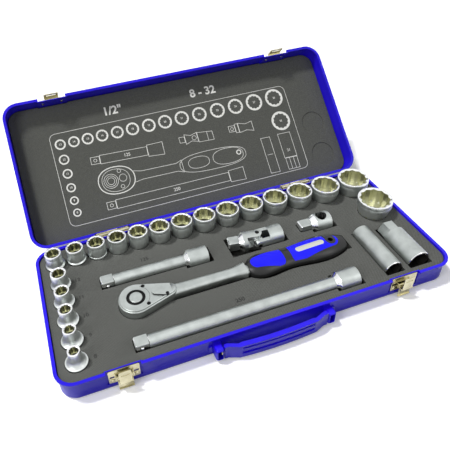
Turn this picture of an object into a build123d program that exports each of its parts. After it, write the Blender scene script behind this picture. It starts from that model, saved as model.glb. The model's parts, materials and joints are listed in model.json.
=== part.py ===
from build123d import *
import math
import os

# A half-inch drive socket wrench set in a hinged sheet-metal case. Millimetres, +Z up, X along the
# case, -Y towards the front. The origin is the centre of the case's underside. The lid is drawn
# closed and then swung back to the angle at which it stands open on its hinge stops.

# ---- Case ----
case_depth = 186.0
tray_height = 28.0
lid_height = 28.0
sheet = 1.0                    # pressed steel
rim_lip = 2.5                  # lip rolled outwards round both pans
lip_height = 2.2
corner_radius = 20.0
press_radius = 4.0             # bend between floor and wall
seam_gap = 0.5                 # between the closed rims
lid_open_angle = 138.0
latch_inset = 64.0             # latch's middle from the case's end
latch_recess_width = 35.0
latch_recess_depth = 1.2
latch_recess_bottom = 8.0
hinge_inset = 96.0

# ---- Foam ----
foam_side_gap = 0.8
tray_foam_drop = 2.5           # foam surface below the tray's rim
lid_foam_drop = 19.0
foam_web = 1.2                 # least foam under a pocket
pocket_gap = 0.6               # round a tool, on each side
seat_gap = 0.3                 # under a round tool
finger_gap = 5.0               # extra pocket length beyond a tool's end
finger_width = 22.0            # of the place for a finger behind the ratchet's grip
drive_well_radius = 9.9        # well for the ratchet's drive square
cutter_top = 60.0              # pockets are cut from well above the foam
press_mark_depth = 0.8
press_mark_radius = 16.0

# ---- Half-inch drive ----
drive_square = 12.7
square_fit = 0.12              # a female square is larger by this on each side
drive_length = 14.0
female_depth = 15.0
square_corner = 1.4
detent_ball = 4.4
edge_ease = 0.7                # eased outer edges of the turned tools
cone_radius = 8.2              # of a cone where it meets a male square

# ---- Twelve-point sockets ----
column_sizes = (8, 9, 10, 11, 12)
row_sizes = (13, 14, 15, 16, 17, 18, 19, 20, 21, 22, 23, 24, 27, 30)
corner_size = 32
socket_length = 38.0
long_socket_from = 22          # larger sizes grow longer
socket_growth = 0.65           # length per millimetre of size
socket_wall = 1.6
socket_wall_growth = 0.022
drive_end_least = 22.5
drive_end_from = 16            # drive ends of larger sizes grow wider
drive_end_growth = 0.65
drive_end_height = 20.0        # of the straight drive end
bore_depth_least = 6.0
bore_depth_growth = 0.45
socket_top = 45.0              # height of the open ends above the underside
row_gap = 2.4
row_left_margin = 10.75        # case's end to the row's first socket
row_right_margin = 13.14
row_back_y = 79.5              # the row stands against this line
column_inset = 23.5            # column's middle from the case's end
column_start_y = -67.5
column_pitch = 25.8
corner_socket_inset = 32.4
corner_socket_y = 13.6

# ---- Extension bars, adaptor and universal joint, all along X ----
bar_diameter = 14.0
bar_end_diameter = 22.0
bar_end_length = 24.0
bar_cone = 4.0
long_bar_length = 250.0
long_bar_inset = 80.0          # bar's square from the case's left end
long_bar_y = -70.5
short_bar_length = 125.0
short_bar_inset = 65.5
short_bar_y = 19.0
bar_lift = 1.0                 # bar axis above the foam surface
adaptor_gap = 24.6             # clear of the joint before it
adaptor_y = 19.0
adaptor_diameter = 24.0
adaptor_body = 21.0
adaptor_collar = 6.0           # length of its cone
adaptor_hole = 13.6
adaptor_hole_back = 12.5       # hole's middle from the body's end
adaptor_rounding = 2.5
joint_gap = 27.5               # clear of the short bar before it
joint_y = 19.0
joint_lift = 2.0               # joint's axis above the foam surface
joint_swing = 7.0              # sideways each way in the pocket; it lies swung to the back
joint_diameter = 24.0
joint_half_length = 35.5       # pin to the tip of the square
joint_socket_length = 31.5     # pin to the socket's end
joint_throat = 13.2            # pin to the floor of a fork
joint_collar = 4.8             # full round behind a fork's floor
joint_cone = 5.0
joint_block = 11.0
joint_pin = 5.0
joint_slack = 0.4              # between a fork and the block
joint_well = 8.0               # half the length of the deep place under the pins
running_gap = 0.05             # radial, pins and shafts that turn

# ---- Spark plug sockets, along Y ----
plug_mouth_y = -77.0
small_plug_inset = 68.5        # from the case's right end
small_plug_af = 16.0
small_plug_diameter = 21.5
small_plug_length = 64.0
large_plug_inset = 36.0
large_plug_af = 20.8
large_plug_diameter = 27.0
large_plug_length = 60.0
large_plug_neck_af = 20.0
large_plug_neck = 15.0
plug_hex_depth = 24.0
plug_ring_length = 10.0
plug_ring_wall = 3.0

# ---- Ratchet, along X, face up ----
ratchet_inset = 95.7           # head's centre from the case's left end
ratchet_y = -21.0
head_radius = 19.0
head_bottom = 16.5
head_thickness = 18.5
head_floor = 2.0
cover_thickness = 1.8
cover_inset = 1.2              # cover's edge inside the head's
head_reach = 37.0              # head centre to the middle of the pear's small end
head_tail_radius = 8.0
neck_width = 13.0
neck_flare = 18.0              # width where the neck meets the grip
neck_end = 125.0               # head centre to the end of the neck
ferrule_radius = 6.5
tang_size = 8.0
tang_length = 70.0
ferrule_overlap = 0.5          # tang's root inside the ferrule
grip_start = 128.0
grip_length = 122.0
gear_teeth = 48
gear_radius = 12.5
tooth_depth = 0.85
gear_height = 15.0
gear_hub = 20.4
gear_neck = 17.0
button_diameter = 14.0
button_travel = 2.5
button_stem = 5.0
button_rise = 1.2
button_disc = 2.6
pawl_pivot = 22.0
pawl_height = 10.0
pawl_relief = 1.4              # clear of the teeth along its middle
pawl_angle = 5.0               # each way from the middle
pawl_width = 15.0
pawl_room_radius = 9.0
pawl_room_length = 9.0
lever_angle = 36.0             # from the tool's axis, at each of its two settings
lever_reach = 15.0
lever_thickness = 1.6
lever_spindle = 5.0
screw_head = 4.4
screw_shank = 2.6
screw_length = 8.0
grip_pad_depth = 6.0           # pads are let in down to this height above the axis
front_pad_start = 3.5          # along the grip, from its front
front_pad_half_width = 12.5
rear_pad_margin = 10.0         # from the grip's back end to the rear pad's end
rear_pad_length = 60.5
rear_pad_half_width = 13.5
pad_gap = 9.0                  # black band between the two pads
plate_lead = 7.3               # rear pad's start to the steel plate let into it
plate_length = 35.3
plate_width = 7.0
plate_sheet = 1.0
hang_hole = 6.0
hang_hole_from_end = 19.0
hang_collar = 6.2              # radius of the hard collar round the hang hole

# ---- Latches, hinges and handle ----
latch_plate_width = 31.0
latch_plate_height = 18.5
latch_ear = 12.0               # latch middle to the slots and rivets of its plates
plate_thickness = 1.0
latch_pin = 2.0
latch_pin_z = 17.5
latch_pin_out = 3.4            # in front of the latch's wall face
claw_pin = 1.6
claw_pin_out = 3.6             # in front of the latch pin
claw_pin_z = 13.4
claw_top = 31.0
lever_bottom = 2.0
keeper_height = 11.5
strap_bottom = 20.6
lever_width = 15.2
claw_width = 12.4
hinge_width = 40.0
hinge_barrel = 4.4
hinge_pin = 2.4
leaf_thickness = 1.2
knuckle_gap = 0.4
hinge_reach = 17.0             # pin to the far edge of a leaf
hinge_rivet = 11.5             # pin to the leaf's rivets
rivet_head = 4.0
rivet_shank = 2.4
rivet_rise = 0.9
rivet_tail = 0.5
bracket_spacing = 125.0        # between the brackets' middles
bracket_width = 8.8
bracket_height = 16.0
bracket_flange = 4.0           # beyond the box, away from the handle
bracket_flange_height = 9.0
bracket_depth = 12.0           # out from the wall
bracket_wall = 1.6
handle_end_gap = 0.4
handle_pivot_height = 12.4
handle_pivot_out = 8.0         # in front of the front wall
handle_height = 18.0
handle_end_thickness = 4.4
handle_grip_half = 43.0
handle_grip_thickness = 5.2
handle_reach = 6.4             # grip's ends in front of the pivot
handle_bow = 1.8               # grip's middle in front of its ends
handle_groove_depth = 1.2
handle_pin = 2.4
handle_pin_depth = 9.0         # into the handle's end


def socket_sizes(size):
    """Outer diameter at the mouth, diameter at the drive end, and length."""
    mouth = size / math.cos(math.radians(30)) + 2 * (socket_wall + socket_wall_growth * size)
    drive_end = drive_end_least + drive_end_growth * max(0, size - drive_end_from)
    length = socket_length + socket_growth * max(0, size - long_socket_from)
    return mouth, drive_end, length


# ---- Worked-out places ----
row_widths = [max(socket_sizes(size)[:2]) for size in row_sizes]
row_width = sum(row_widths) + row_gap * (len(row_sizes) - 1)
case_width = row_left_margin + row_width + row_right_margin
case_left = -case_width / 2
case_right = case_width / 2
latch_spacing = case_width - 2 * latch_inset
hinge_spacing = case_width - 2 * hinge_inset
wall_x = case_width / 2 - rim_lip
wall_y = case_depth / 2 - rim_lip
foam_top = tray_height - tray_foam_drop
bar_axis = foam_top + bar_lift
joint_axis = foam_top + joint_lift
long_bar_x = case_left + long_bar_inset
short_bar_x = case_left + short_bar_inset
joint_x = short_bar_x + short_bar_length + joint_gap
adaptor_x = joint_x + joint_half_length + joint_socket_length + adaptor_gap
small_plug_x = case_right - small_plug_inset
large_plug_x = case_right - large_plug_inset
ratchet_x = case_left + ratchet_inset
hinge_y = case_depth / 2 + 1.0
hinge_z = tray_height + seam_gap / 2
lid_rim = tray_height + seam_gap
lid_foam_face = lid_rim + lid_foam_drop
lid_axis = Axis((0, hinge_y, hinge_z), (-1, 0, 0))
female_square = drive_square + 2 * square_fit
neck_axis = head_bottom + head_thickness / 2 + 1.0
cover_z = head_bottom + head_thickness
gear_top = cover_z + cover_thickness - 0.6
button_recess = button_disc - button_rise + button_travel + 0.2
stem_hole_bottom = head_bottom - drive_length + 3.0
hang_hole_x = grip_start + grip_length - hang_hole_from_end
rear_pad_end = grip_length - rear_pad_margin
rear_pad_start = rear_pad_end - rear_pad_length
rear_pad = (rear_pad_start, rear_pad_end, rear_pad_half_width)
front_pad = (front_pad_start, rear_pad_start - pad_gap, front_pad_half_width)
plate_start = rear_pad_start + plate_lead
latch_face = -(wall_y - latch_recess_depth)
latch_plate_top = tray_height - 1.0
latch_pin_y = latch_face - latch_pin_out
claw_pin_y = latch_pin_y - claw_pin_out
strap_y = latch_pin_y - 1.2
handle_pivot_y = -(wall_y + handle_pivot_out)


def solid_box(x0, x1, y0, y1, z0, z1):
    """A box from its low and high corners."""
    middle = ((x0 + x1) / 2, (y0 + y1) / 2, (z0 + z1) / 2)
    return Pos(*middle) * Box(x1 - x0, y1 - y0, z1 - z0)


def rod(radius, length, x, y, z, along="Z"):
    """A round rod whose near end stands at the given point."""
    turn = {"X": Rot(0, 90, 0), "Y": Rot(-90, 0, 0), "Z": Rot(0, 0, 0)}[along]
    middle = Pos(0, 0, length / 2) * Cylinder(radius, length)
    return Pos(x, y, z) * turn * middle


def revolved(points):
    """A turned solid about Z from (radius, height) points."""
    face = make_face(Polyline(*[(r, 0, z) for r, z in points], close=True))
    return revolve(face, Axis.Z, 360)


def square_bar(size, length, chamfer_length=1.2):
    """A male square along +Z from the origin, with its tip eased at the far end."""
    body = extrude(RectangleRounded(size, size, square_corner), length)
    tip_edges = body.edges().group_by(Axis.Z)[-1]
    return chamfer(tip_edges, chamfer_length)


def square_hole(depth):
    """The cutter for a female square, going up from the origin."""
    return extrude(Rectangle(female_square, female_square), depth)


def lay_along_x(shape, x, y, z):
    """Turns a tool drawn along +Z to lie along +X."""
    return Pos(x, y, z) * Rot(0, 90, 0) * shape


def opened(shape):
    """Swings a piece of the closed lid back to where the lid stands open."""
    return shape.rotate(lid_axis, lid_open_angle)


def as_lid(shape):
    """Turns a piece drawn as for the tray over, to its place in the closed lid."""
    return Pos(0, 0, lid_rim + lid_height) * mirror(shape, about=Plane.XY)


# ---- Pressed pans ----
def pan_block(width, depth, height, radius, bend):
    """The rounded block of a pan, floor down, with its floor edge bent to a radius."""
    block = extrude(RectangleRounded(width, depth, radius), height)
    return fillet(block.edges().group_by(Axis.Z)[0], bend)


def recess_places():
    """Middle X, width, and side of every place where the rim and wall are pressed in."""
    for side in (-1, 1):
        yield side * latch_spacing / 2, latch_recess_width, -1
        yield side * hinge_spacing / 2, hinge_width + 4, 1


def rim_recesses(height, inside=0.0):
    """Boxes that press the wall in at the latches and take the lip away there and at the hinges.

    For a face that lies inside the wall's own, they reach that much further.
    """
    cutters = []
    for x, width, side in recess_places():
        depth = inside + (latch_recess_depth if side < 0 else 0)
        low, high = sorted((side * (wall_y - depth), side * (case_depth / 2 + 1)))
        bottom = latch_recess_bottom if side < 0 else height - lip_height
        half = width / 2 + inside
        cutters.append(solid_box(x - half, x + half, low, high, bottom - inside, height + 1))
    return cutters


def pressed_pan(height):
    """A pressed steel pan with its rim lip turned out, open upwards."""
    outer = pan_block(2 * wall_x, 2 * wall_y, height, corner_radius - rim_lip, press_radius)
    lip = extrude(RectangleRounded(case_width, case_depth, corner_radius), lip_height)
    lip = Pos(0, 0, height - lip_height) * fillet(lip.edges().group_by(Axis.Z)[0], rim_lip * 0.35)
    inner = pan_block(2 * (wall_x - sheet), 2 * (wall_y - sheet), height,
                      corner_radius - rim_lip - sheet, press_radius - sheet)
    inner = Pos(0, 0, sheet) * inner
    for cutter in rim_recesses(height, sheet):
        inner -= cutter
    shell = outer + lip
    for cutter in rim_recesses(height):
        shell -= cutter
    return shell - inner


def foam_block(bottom, top):
    """A foam slab that fills a pan from the floor up, clear of the pressed-in latch places."""
    gap = sheet + foam_side_gap
    slab = extrude(RectangleRounded(2 * (wall_x - gap), 2 * (wall_y - gap),
                                    corner_radius - rim_lip - gap), top - bottom)
    slab = Pos(0, 0, bottom) * slab
    slab = chamfer(slab.edges().group_by(Axis.Z)[0], press_radius - sheet)
    for cutter in rim_recesses(tray_height, gap):
        slab -= cutter
    return slab


# ---- Twelve-point sockets ----
def twelve_point(size, depth):
    """Two hexagons, one turned by 30 degrees, as one prism."""
    half = size / 2
    tips = half / math.cos(math.radians(30))
    valleys = half / math.cos(math.radians(15))
    points = []
    for step in range(24):
        radius = tips if step % 2 == 0 else valleys
        angle = math.radians(15 * step)
        points.append((radius * math.cos(angle), radius * math.sin(angle)))
    return extrude(make_face(Polyline(*points, close=True)), depth)


def socket_outline(top, base, length):
    """Half profile of a socket: flared to the drive end if small, waisted towards it if large."""
    low = Polyline((0, 0), (base - edge_ease, 0), (base, edge_ease), (base, drive_end_height))
    high = Polyline((top, length - edge_ease), (top - edge_ease, length), (0, length), (0, 0))
    if top < base:
        ledge = base - 0.3 * (base - top)
        neck = drive_end_height + 1.8 * (base - top)
        flare = ThreePointArc((ledge, drive_end_height + 0.6),
                              (top + 0.30 * (ledge - top), drive_end_height + 0.45 * (ledge - top) + 0.6),
                              (top, neck))
        side = Polyline((base, drive_end_height), (ledge, drive_end_height + 0.6)) + flare
        side += Line((top, neck), (top, length - edge_ease))
    else:
        neck = waist_height(top, base)
        side = Polyline((base, drive_end_height), (top, neck), (top, length - edge_ease))
    return low + side + high


def socket(size):
    """A socket standing on its drive end at the origin."""
    mouth, drive_end, length = socket_sizes(size)
    outline = Plane.XZ * make_face(socket_outline(mouth / 2, drive_end / 2, length))
    body = revolve(outline, Axis.Z, 360)
    bore_depth = bore_depth_least + bore_depth_growth * size
    tips = size / 2 / math.cos(math.radians(30))
    mouth_cone = Cone(tips - 0.3, tips + 0.6, 0.9, align=(Align.CENTER, Align.CENTER, Align.MIN))
    body -= Pos(0, 0, length - bore_depth) * twelve_point(size, bore_depth + 1)
    body -= Pos(0, 0, length - 0.9) * mouth_cone
    relief = min(size / 2 - 0.4, 0.62 * drive_square)
    body -= rod(relief, length - female_depth - bore_depth + 2, 0, 0, female_depth - 1)
    return body - square_hole(female_depth)


def socket_places():
    """Size and centre of every socket: a column, a row that meets it in the corner, and one."""
    for step, size in enumerate(column_sizes):
        yield size, case_left + column_inset, column_start_y + step * column_pitch
    start = case_left + row_left_margin
    for size, width in zip(row_sizes, row_widths):
        yield size, start + width / 2, row_back_y - width / 2
        start += width + row_gap
    yield corner_size, case_right - corner_socket_inset, corner_socket_y


def pocket_radius(size):
    """A socket's pocket: as wide as the socket is at the foam's surface, or at its drive end."""
    mouth, drive_end, length = socket_sizes(size)
    taper = waist_height(mouth / 2, drive_end / 2) - drive_end_height
    share = max(0, foam_top - socket_seat(size) - drive_end_height) / taper
    at_surface = drive_end + share * (mouth - drive_end)
    return max(at_surface, drive_end) / 2 + pocket_gap


def waist_height(top, base):
    """Height at which a large socket has widened from its drive end to its full radius."""
    return drive_end_height + 3.0 * (top - base) + 2.0


def socket_seat(size):
    """Height of a socket's pocket floor."""
    return max(sheet + foam_web, socket_top - socket_sizes(size)[2])


# ---- Extension bars ----
def extension_bar(length):
    """An extension bar along +Z: male square, round shaft, coned end with a female square."""
    shaft, end = bar_diameter / 2, bar_end_diameter / 2
    cone_start = length - bar_end_length - bar_cone
    body = revolved([(0, drive_length), (shaft - edge_ease, drive_length),
                     (shaft, drive_length + edge_ease), (shaft, cone_start),
                     (end, cone_start + bar_cone), (end, length - edge_ease),
                     (end - edge_ease, length), (0, length)])
    body += Pos(0, 0, drive_length) * Rot(180, 0, 0) * square_bar(drive_square, drive_length)
    body -= Pos(0, 0, length - female_depth) * square_hole(female_depth + 1)
    return body - detent_seat()


def detent_seat():
    """The blind hole that holds the detent ball, half-way along the male square."""
    return rod(detent_ball / 2 + 0.1, detent_ball, 0, -drive_square / 2 - 1, drive_length / 2, "Y")


def detent():
    """The sprung ball staked in a male square, showing on one flat."""
    return Pos(0, detent_ball - 1 - drive_square / 2 - detent_ball / 2, drive_length / 2) * Sphere(
        detent_ball / 2)


# ---- Sliding bar adaptor ----
def sliding_adaptor():
    """A male square on a round head that has a cross hole for an extension bar."""
    body_start = drive_length + adaptor_collar
    end = body_start + adaptor_body
    radius = adaptor_diameter / 2
    body = revolved([(0, drive_length), (cone_radius, drive_length), (radius, body_start),
                     (radius, end), (0, end)])
    body = fillet(body.edges().group_by(Axis.Z)[-1], adaptor_rounding)
    body += Pos(0, 0, drive_length) * Rot(180, 0, 0) * square_bar(drive_square, drive_length)
    return body - rod(adaptor_hole / 2, 2 * radius + 2, -radius - 1, 0, end - adaptor_hole_back, "X")


# ---- Universal joint ----
def fork():
    """A fork whose arms reach in +Z to a pin along X at the origin."""
    radius = joint_diameter / 2
    inside = joint_block / 2 + joint_slack
    arms = rod(radius, joint_throat + joint_block / 2, 0, 0, -joint_throat)
    width = solid_box(-radius, radius, -joint_block / 2, joint_block / 2, -joint_throat, 0)
    width += rod(joint_block / 2, 2 * radius, -radius, 0, 0, "X")
    gap = solid_box(-inside, inside, -radius, radius, -joint_throat, joint_block)
    bore = rod(joint_pin / 2 + running_gap, 2 * radius + 2, -radius - 1, 0, 0, "X")
    return (arms & width) - gap - bore


def joint_drive_yoke():
    """Male square, collar and fork, reaching in +Z to the pin at the origin."""
    radius = joint_diameter / 2
    base = -joint_throat - joint_collar - joint_cone
    body = revolved([(0, base), (cone_radius, base), (radius, base + joint_cone),
                     (radius, -joint_throat), (0, -joint_throat)])
    male = joint_half_length + base
    square = Rot(180, 0, 0) * square_bar(drive_square, male)
    return body + fork() + Pos(0, 0, base) * square


def joint_socket_yoke():
    """Female square end and fork, drawn reaching in +Z like the drive yoke."""
    radius = joint_diameter / 2
    base = -joint_socket_length
    body = revolved([(0, base), (radius - 1.2, base), (radius, base + 1.2),
                     (radius, -joint_throat), (0, -joint_throat)])
    body += fork()
    return body - Pos(0, 0, base) * square_hole(female_depth)


def joint_cross():
    """The block between the forks, bored for one long pin and two short ones."""
    block = chamfer(Box(joint_block, joint_block, joint_block).edges(), 0.8)
    for pin in joint_pins():
        block -= pin
    return block


def joint_pins():
    """One pin along X and two short ones along Y that meet it."""
    radius = joint_pin / 2
    reach = joint_diameter / 2 - 0.5
    pins = [rod(radius, 2 * reach, -reach, 0, 0, "X")]
    for side in (-1, 1):
        stub = rod(radius, reach, 0, 0 if side > 0 else -reach, 0, "Y")
        pins.append(stub - pins[0])
    return pins


# ---- Spark plug sockets ----
def plug_socket(af, diameter, length, neck_af, neck):
    """A deep six-point socket along +Z, drive end at the origin, mouth at the far end."""
    radius = diameter / 2
    body = revolved([(0, neck), (radius - edge_ease, neck), (radius, neck + edge_ease),
                     (radius, length - edge_ease), (radius - edge_ease, length), (0, length)])
    if neck > 0:
        hexagon = extrude(RegularPolygon(neck_af / 2, 6, major_radius=False), neck)
        body += chamfer(hexagon.edges().group_by(Axis.Z)[0], 1.0)
    hexagon = RegularPolygon(af / 2, 6, major_radius=False)
    body -= Pos(0, 0, length - plug_hex_depth) * extrude(hexagon, plug_hex_depth + 1)
    body -= rod(plug_bore(af), length - plug_hex_depth - female_depth + 2, 0, 0, female_depth - 1)
    return body - square_hole(female_depth)


def plug_bore(af):
    """Radius of the round bore behind the hexagon."""
    return af / 2 - 0.3


def plug_ring(af, length):
    """The rubber ring that grips the plug, pressed into the round bore."""
    outer = plug_bore(af)
    inner = outer - plug_ring_wall
    ring = revolved([(inner, 0), (outer, 0), (outer, plug_ring_length),
                     (inner + 1.0, plug_ring_length), (inner, plug_ring_length - 2.0)])
    return Pos(0, 0, length - plug_hex_depth - plug_ring_length) * ring


# ---- Ratchet ----
def pear(head, tail, reach):
    """The outline round a large circle and a small one that stands off along X."""
    return make_hull((Circle(head) + Pos(reach, 0) * Circle(tail)).edges())


def neck_section(x, width, height):
    """A rounded section of the neck."""
    return Pos(x, 0, neck_axis) * Rot(0, 90, 0) * RectangleRounded(height, width, 0.3 * width)


def ratchet_body():
    """The forged head, neck and tang, with the cavity for the gear and pawl."""
    head = extrude(pear(head_radius, head_tail_radius, head_reach), head_thickness)
    head = Pos(0, 0, head_bottom) * head
    head = fillet(head.edges().group_by(Axis.Z)[0] + head.edges().group_by(Axis.Z)[-1], 1.5)
    waist = neck_section(head_reach + 22, neck_width, neck_width + 1)
    flare = neck_section(neck_end - 14, neck_width - 0.5, neck_width)
    neck = loft([neck_section(head_reach - 6, neck_width + 2, neck_width + 3), waist])
    neck += loft([waist, flare]) + loft([flare, neck_section(neck_end, neck_flare, neck_flare - 1)])
    ferrule = rod(ferrule_radius, grip_start - neck_end, neck_end, 0, neck_axis, "X")
    body = head + neck + ferrule + tang()
    body -= rod(gear_radius + 0.3, head_thickness, 0, 0, head_bottom + head_floor)
    body -= rod(gear_neck / 2 + running_gap, head_floor + 2, 0, 0, head_bottom - 1)
    room = extrude(pear(pawl_room_radius, pawl_room_radius, pawl_room_length), pawl_height + 1)
    body -= Pos(pawl_pivot + 4 - pawl_room_radius - pawl_room_length, 0, cover_z - pawl_height) * room
    for x, y in cover_screw_places():
        body -= rod(screw_shank / 2, screw_length, x, y, cover_z - screw_length)
    return body


def tang():
    """The square tang that the grip is moulded round."""
    half = tang_size / 2
    start = grip_start - ferrule_overlap
    return solid_box(start, grip_start + tang_length, -half, half,
                     neck_axis - half, neck_axis + half)


def cover_screw_places():
    """Where the two screws of the cover plate stand, from the head's centre."""
    return ((10.8, 12.2), (10.8, -12.2))


def cover_plate():
    """The face plate that closes the cavity, with the gear's window and the lever's seat."""
    plate = pear(head_radius - cover_inset, head_tail_radius - cover_inset, head_reach)
    plate = extrude(plate, cover_thickness)
    plate = Pos(0, 0, cover_z) * chamfer(plate.edges().group_by(Axis.Z)[-1], 0.5)
    plate -= rod(gear_hub / 2 + running_gap, 5, 0, 0, cover_z - 1)
    plate -= rod(lever_spindle / 2 + running_gap, 5, pawl_pivot, 0, cover_z - 1)
    for x, y in cover_screw_places():
        plate -= rod(screw_head / 2, 5, x, y, cover_z - 1)
    return plate


def cover_screws():
    """Two flat-headed screws, their heads a little under the face."""
    screws = []
    for x, y in cover_screw_places():
        head = rod(screw_head / 2, cover_thickness - 0.4, x, y, cover_z)
        screws.append(head + rod(screw_shank / 2, screw_length, x, y, cover_z - screw_length))
    return screws


def gear_outline(growth=0.0):
    """The ratchet gear's toothed outline, grown for a clearance cutter."""
    points = []
    for step in range(2 * gear_teeth):
        radius = gear_radius + growth - (tooth_depth if step % 2 else 0)
        angle = math.pi * step / gear_teeth
        points.append((radius * math.cos(angle), radius * math.sin(angle)))
    return make_face(Polyline(*points, close=True))


def drive_gear():
    """Toothed wheel, journals and male square in one piece, bored for the release button."""
    gear_z = head_bottom + head_floor + 0.2
    body = Pos(0, 0, gear_z) * extrude(gear_outline(), cover_z - 0.8 - gear_z)
    body += rod(gear_hub / 2, gear_top - gear_z, 0, 0, gear_z)
    body += rod(gear_neck / 2, head_floor + 2.2, 0, 0, head_bottom - 2)
    body += Pos(0, 0, head_bottom) * Rot(180, 0, 0) * square_bar(drive_square, drive_length)
    body -= rod(button_diameter / 2 + 0.1, button_recess + 1, 0, 0, gear_top - button_recess)
    return body - rod(button_stem / 2 + running_gap, gear_top, 0, 0, stem_hole_bottom)


def release_button():
    """The push button and its stem, which frees the detent ball."""
    disc = rod(button_diameter / 2, button_disc, 0, 0, gear_top + button_rise - button_disc)
    disc = chamfer(disc.edges().group_by(Axis.Z)[-1], 0.5)
    bottom = stem_hole_bottom + button_travel + 0.4
    return disc + rod(button_stem / 2, gear_top - 1 - bottom, 0, 0, bottom)


def reversing_lever():
    """Thumb lever on a round hub, with the spindle that rocks the pawl."""
    hub_z = cover_z + cover_thickness
    lever = extrude(pear(4.6, 1.8, lever_reach - 1.8), lever_thickness)
    thumb = Pos(lever_reach - 2.0, 0, lever_thickness) * Cylinder(1.7, 1.8)
    lever = Pos(0, 0, hub_z) * (lever + thumb)
    lever += rod(lever_spindle / 2, cover_thickness + 0.2, 0, 0, cover_z - 0.1)
    return Pos(pawl_pivot, 0, 0) * Rot(0, 0, -lever_angle) * lever


def pawl():
    """The two-ended pawl, cut to mesh with the gear at either end of its rock."""
    height = pawl_height - 0.3
    ring = Circle(gear_radius + 4.2) - Circle(gear_radius + 0.15)
    blank = ring & (Pos(pawl_pivot / 2 + 4, 0) * Rectangle(pawl_pivot - 8, pawl_width))
    blank += Pos(pawl_pivot - 3.5, 0) * Rectangle(7.0, 6.4)
    blank += Pos(pawl_pivot, 0) * Circle(3.6)
    blank -= Pos(gear_radius, 0) * Rectangle(2 * pawl_relief, pawl_width * 0.6)
    body = extrude(blank, height)
    cutter = extrude(gear_outline(0.12), height)
    pivot = Axis((pawl_pivot, 0, 0), (0, 0, 1))
    for turn in (-pawl_angle, 2 * pawl_angle):
        body = body.rotate(pivot, turn) - cutter
    return Pos(0, 0, cover_z - pawl_height) * body.rotate(pivot, -2 * pawl_angle)


def grip_stations():
    """Distance along the grip, half width and half height of each oval section."""
    return ((0.0, 8.5, 8.5), (0.13, 16.0, 11.2), (0.37, 13.8, 10.3), (0.66, 16.8, 11.5),
            (0.88, 15.0, 10.6), (1.0, 9.0, 7.0))


def grip_form():
    """The handle's swelling oval form, rounded at its end."""
    sections = []
    for share, half_width, half_height in grip_stations():
        oval = Rot(0, 90, 0) * Ellipse(half_height, half_width)
        sections.append(Pos(grip_start + share * grip_length, 0, neck_axis) * oval)
    form = loft(sections)
    form = fillet(form.edges().group_by(Axis.X)[-1], 4.0)
    return form - rod(hang_hole / 2, 40, hang_hole_x, 0, neck_axis - 20)


def pad_outline(pad, blunt_end):
    """A soft pad from above: narrow at one end, with two round corners at its blunt end."""
    start, end, half = pad
    narrow = 0.62 * half
    corner = 0.45 * half
    tip, blunt = start + narrow, end - corner
    if blunt_end < 0:
        tip, blunt = end - narrow, start + corner
    corners = Pos(blunt, half - corner) * Circle(corner) + Pos(blunt, corner - half) * Circle(corner)
    return make_hull((Pos(tip, 0) * Circle(narrow) + corners).edges())


def upright(outline, height):
    """The prism above an outline drawn along the grip, from a height above its axis."""
    return Pos(grip_start, 0, neck_axis + height) * extrude(outline, cutter_top)


def grip_prisms():
    """Prisms that cut the two soft pads out of the grip, clear of the hang hole's collar."""
    front = upright(pad_outline(front_pad, 1), grip_pad_depth)
    rear = upright(pad_outline(rear_pad, -1), grip_pad_depth)
    rear -= rod(hang_collar, 2 * cutter_top, hang_hole_x, 0, 0)
    side = hang_hole_x - hang_collar
    rear -= solid_box(side, side + 2 * hang_collar, 0, 2 * hang_collar + rear_pad[2], 0, 2 * cutter_top)
    return front, rear


def name_plate(form):
    """The bare steel plate, bent to the grip's swell and let flush into the rear pad."""
    outline = Pos(plate_start + plate_length / 2, 0) * SlotOverall(plate_length, plate_width)
    return (form & upright(outline, grip_pad_depth)) - Pos(0, 0, -plate_sheet) * form


# ---- Latches, on the front wall and the lid's front ----
def latch_plate(x):
    """Base plate with a slotted ear each side and two lugs that carry the lever's pin."""
    plate = solid_box(x - latch_plate_width / 2, x + latch_plate_width / 2,
                      latch_face - plate_thickness, latch_face,
                      latch_plate_top - latch_plate_height, latch_plate_top)
    plate = fillet(plate.edges().filter_by(Axis.Y), 1.2)
    for side in (-1, 1):
        ear = x + side * latch_ear
        plate -= solid_box(ear - 2.4, ear + 2.4, latch_face - 5, latch_face + 1,
                           latch_pin_z - 1.1, latch_pin_z + 1.1)
        lug = x + side * (lever_width / 2 + 0.3 + plate_thickness / 2)
        lug_box = solid_box(lug - plate_thickness / 2, lug + plate_thickness / 2,
                            latch_pin_y - 2.0, latch_face, latch_pin_z - 3, latch_pin_z + 2.2)
        plate += fillet(lug_box.edges().filter_by(Axis.X).group_by(Axis.Y)[0], 1.8)
    return plate - pin_rod(latch_pin / 2, latch_plate_width, x, latch_pin_y, latch_pin_z)


def pin_rod(radius, length, x, y, z):
    """A pin along X, centred on x."""
    return rod(radius, length, x - length / 2, y, z, "X")


def latch_lever(x):
    """The tongue that hangs from the latch pin, with two lugs for the claw."""
    eye_radius = latch_pin / 2 + 0.9
    front = latch_pin_y - eye_radius
    low, high = x - lever_width / 2, x + lever_width / 2
    lever = pin_rod(eye_radius, lever_width, x, latch_pin_y, latch_pin_z)
    lever += solid_box(low, high, front, front + 0.9, lever_bottom, latch_pin_z)
    lever += solid_box(low, high, front - 1.2, front, lever_bottom, lever_bottom + 0.9)
    for side in (-1, 1):
        lug = x + side * (claw_width / 2 + 0.25 + 0.4)
        plate = solid_box(lug - 0.4, lug + 0.4, claw_pin_y - 1.5, front + 0.1,
                          claw_pin_z - 1.6, claw_pin_z + 1.6)
        lever += fillet(plate.edges().filter_by(Axis.X).group_by(Axis.Y)[0], 1.4)
    lever -= pin_rod(latch_pin / 2 + running_gap, lever_width + 2, x, latch_pin_y, latch_pin_z)
    return lever - pin_rod(claw_pin / 2 + running_gap, lever_width, x, claw_pin_y, claw_pin_z)


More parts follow.
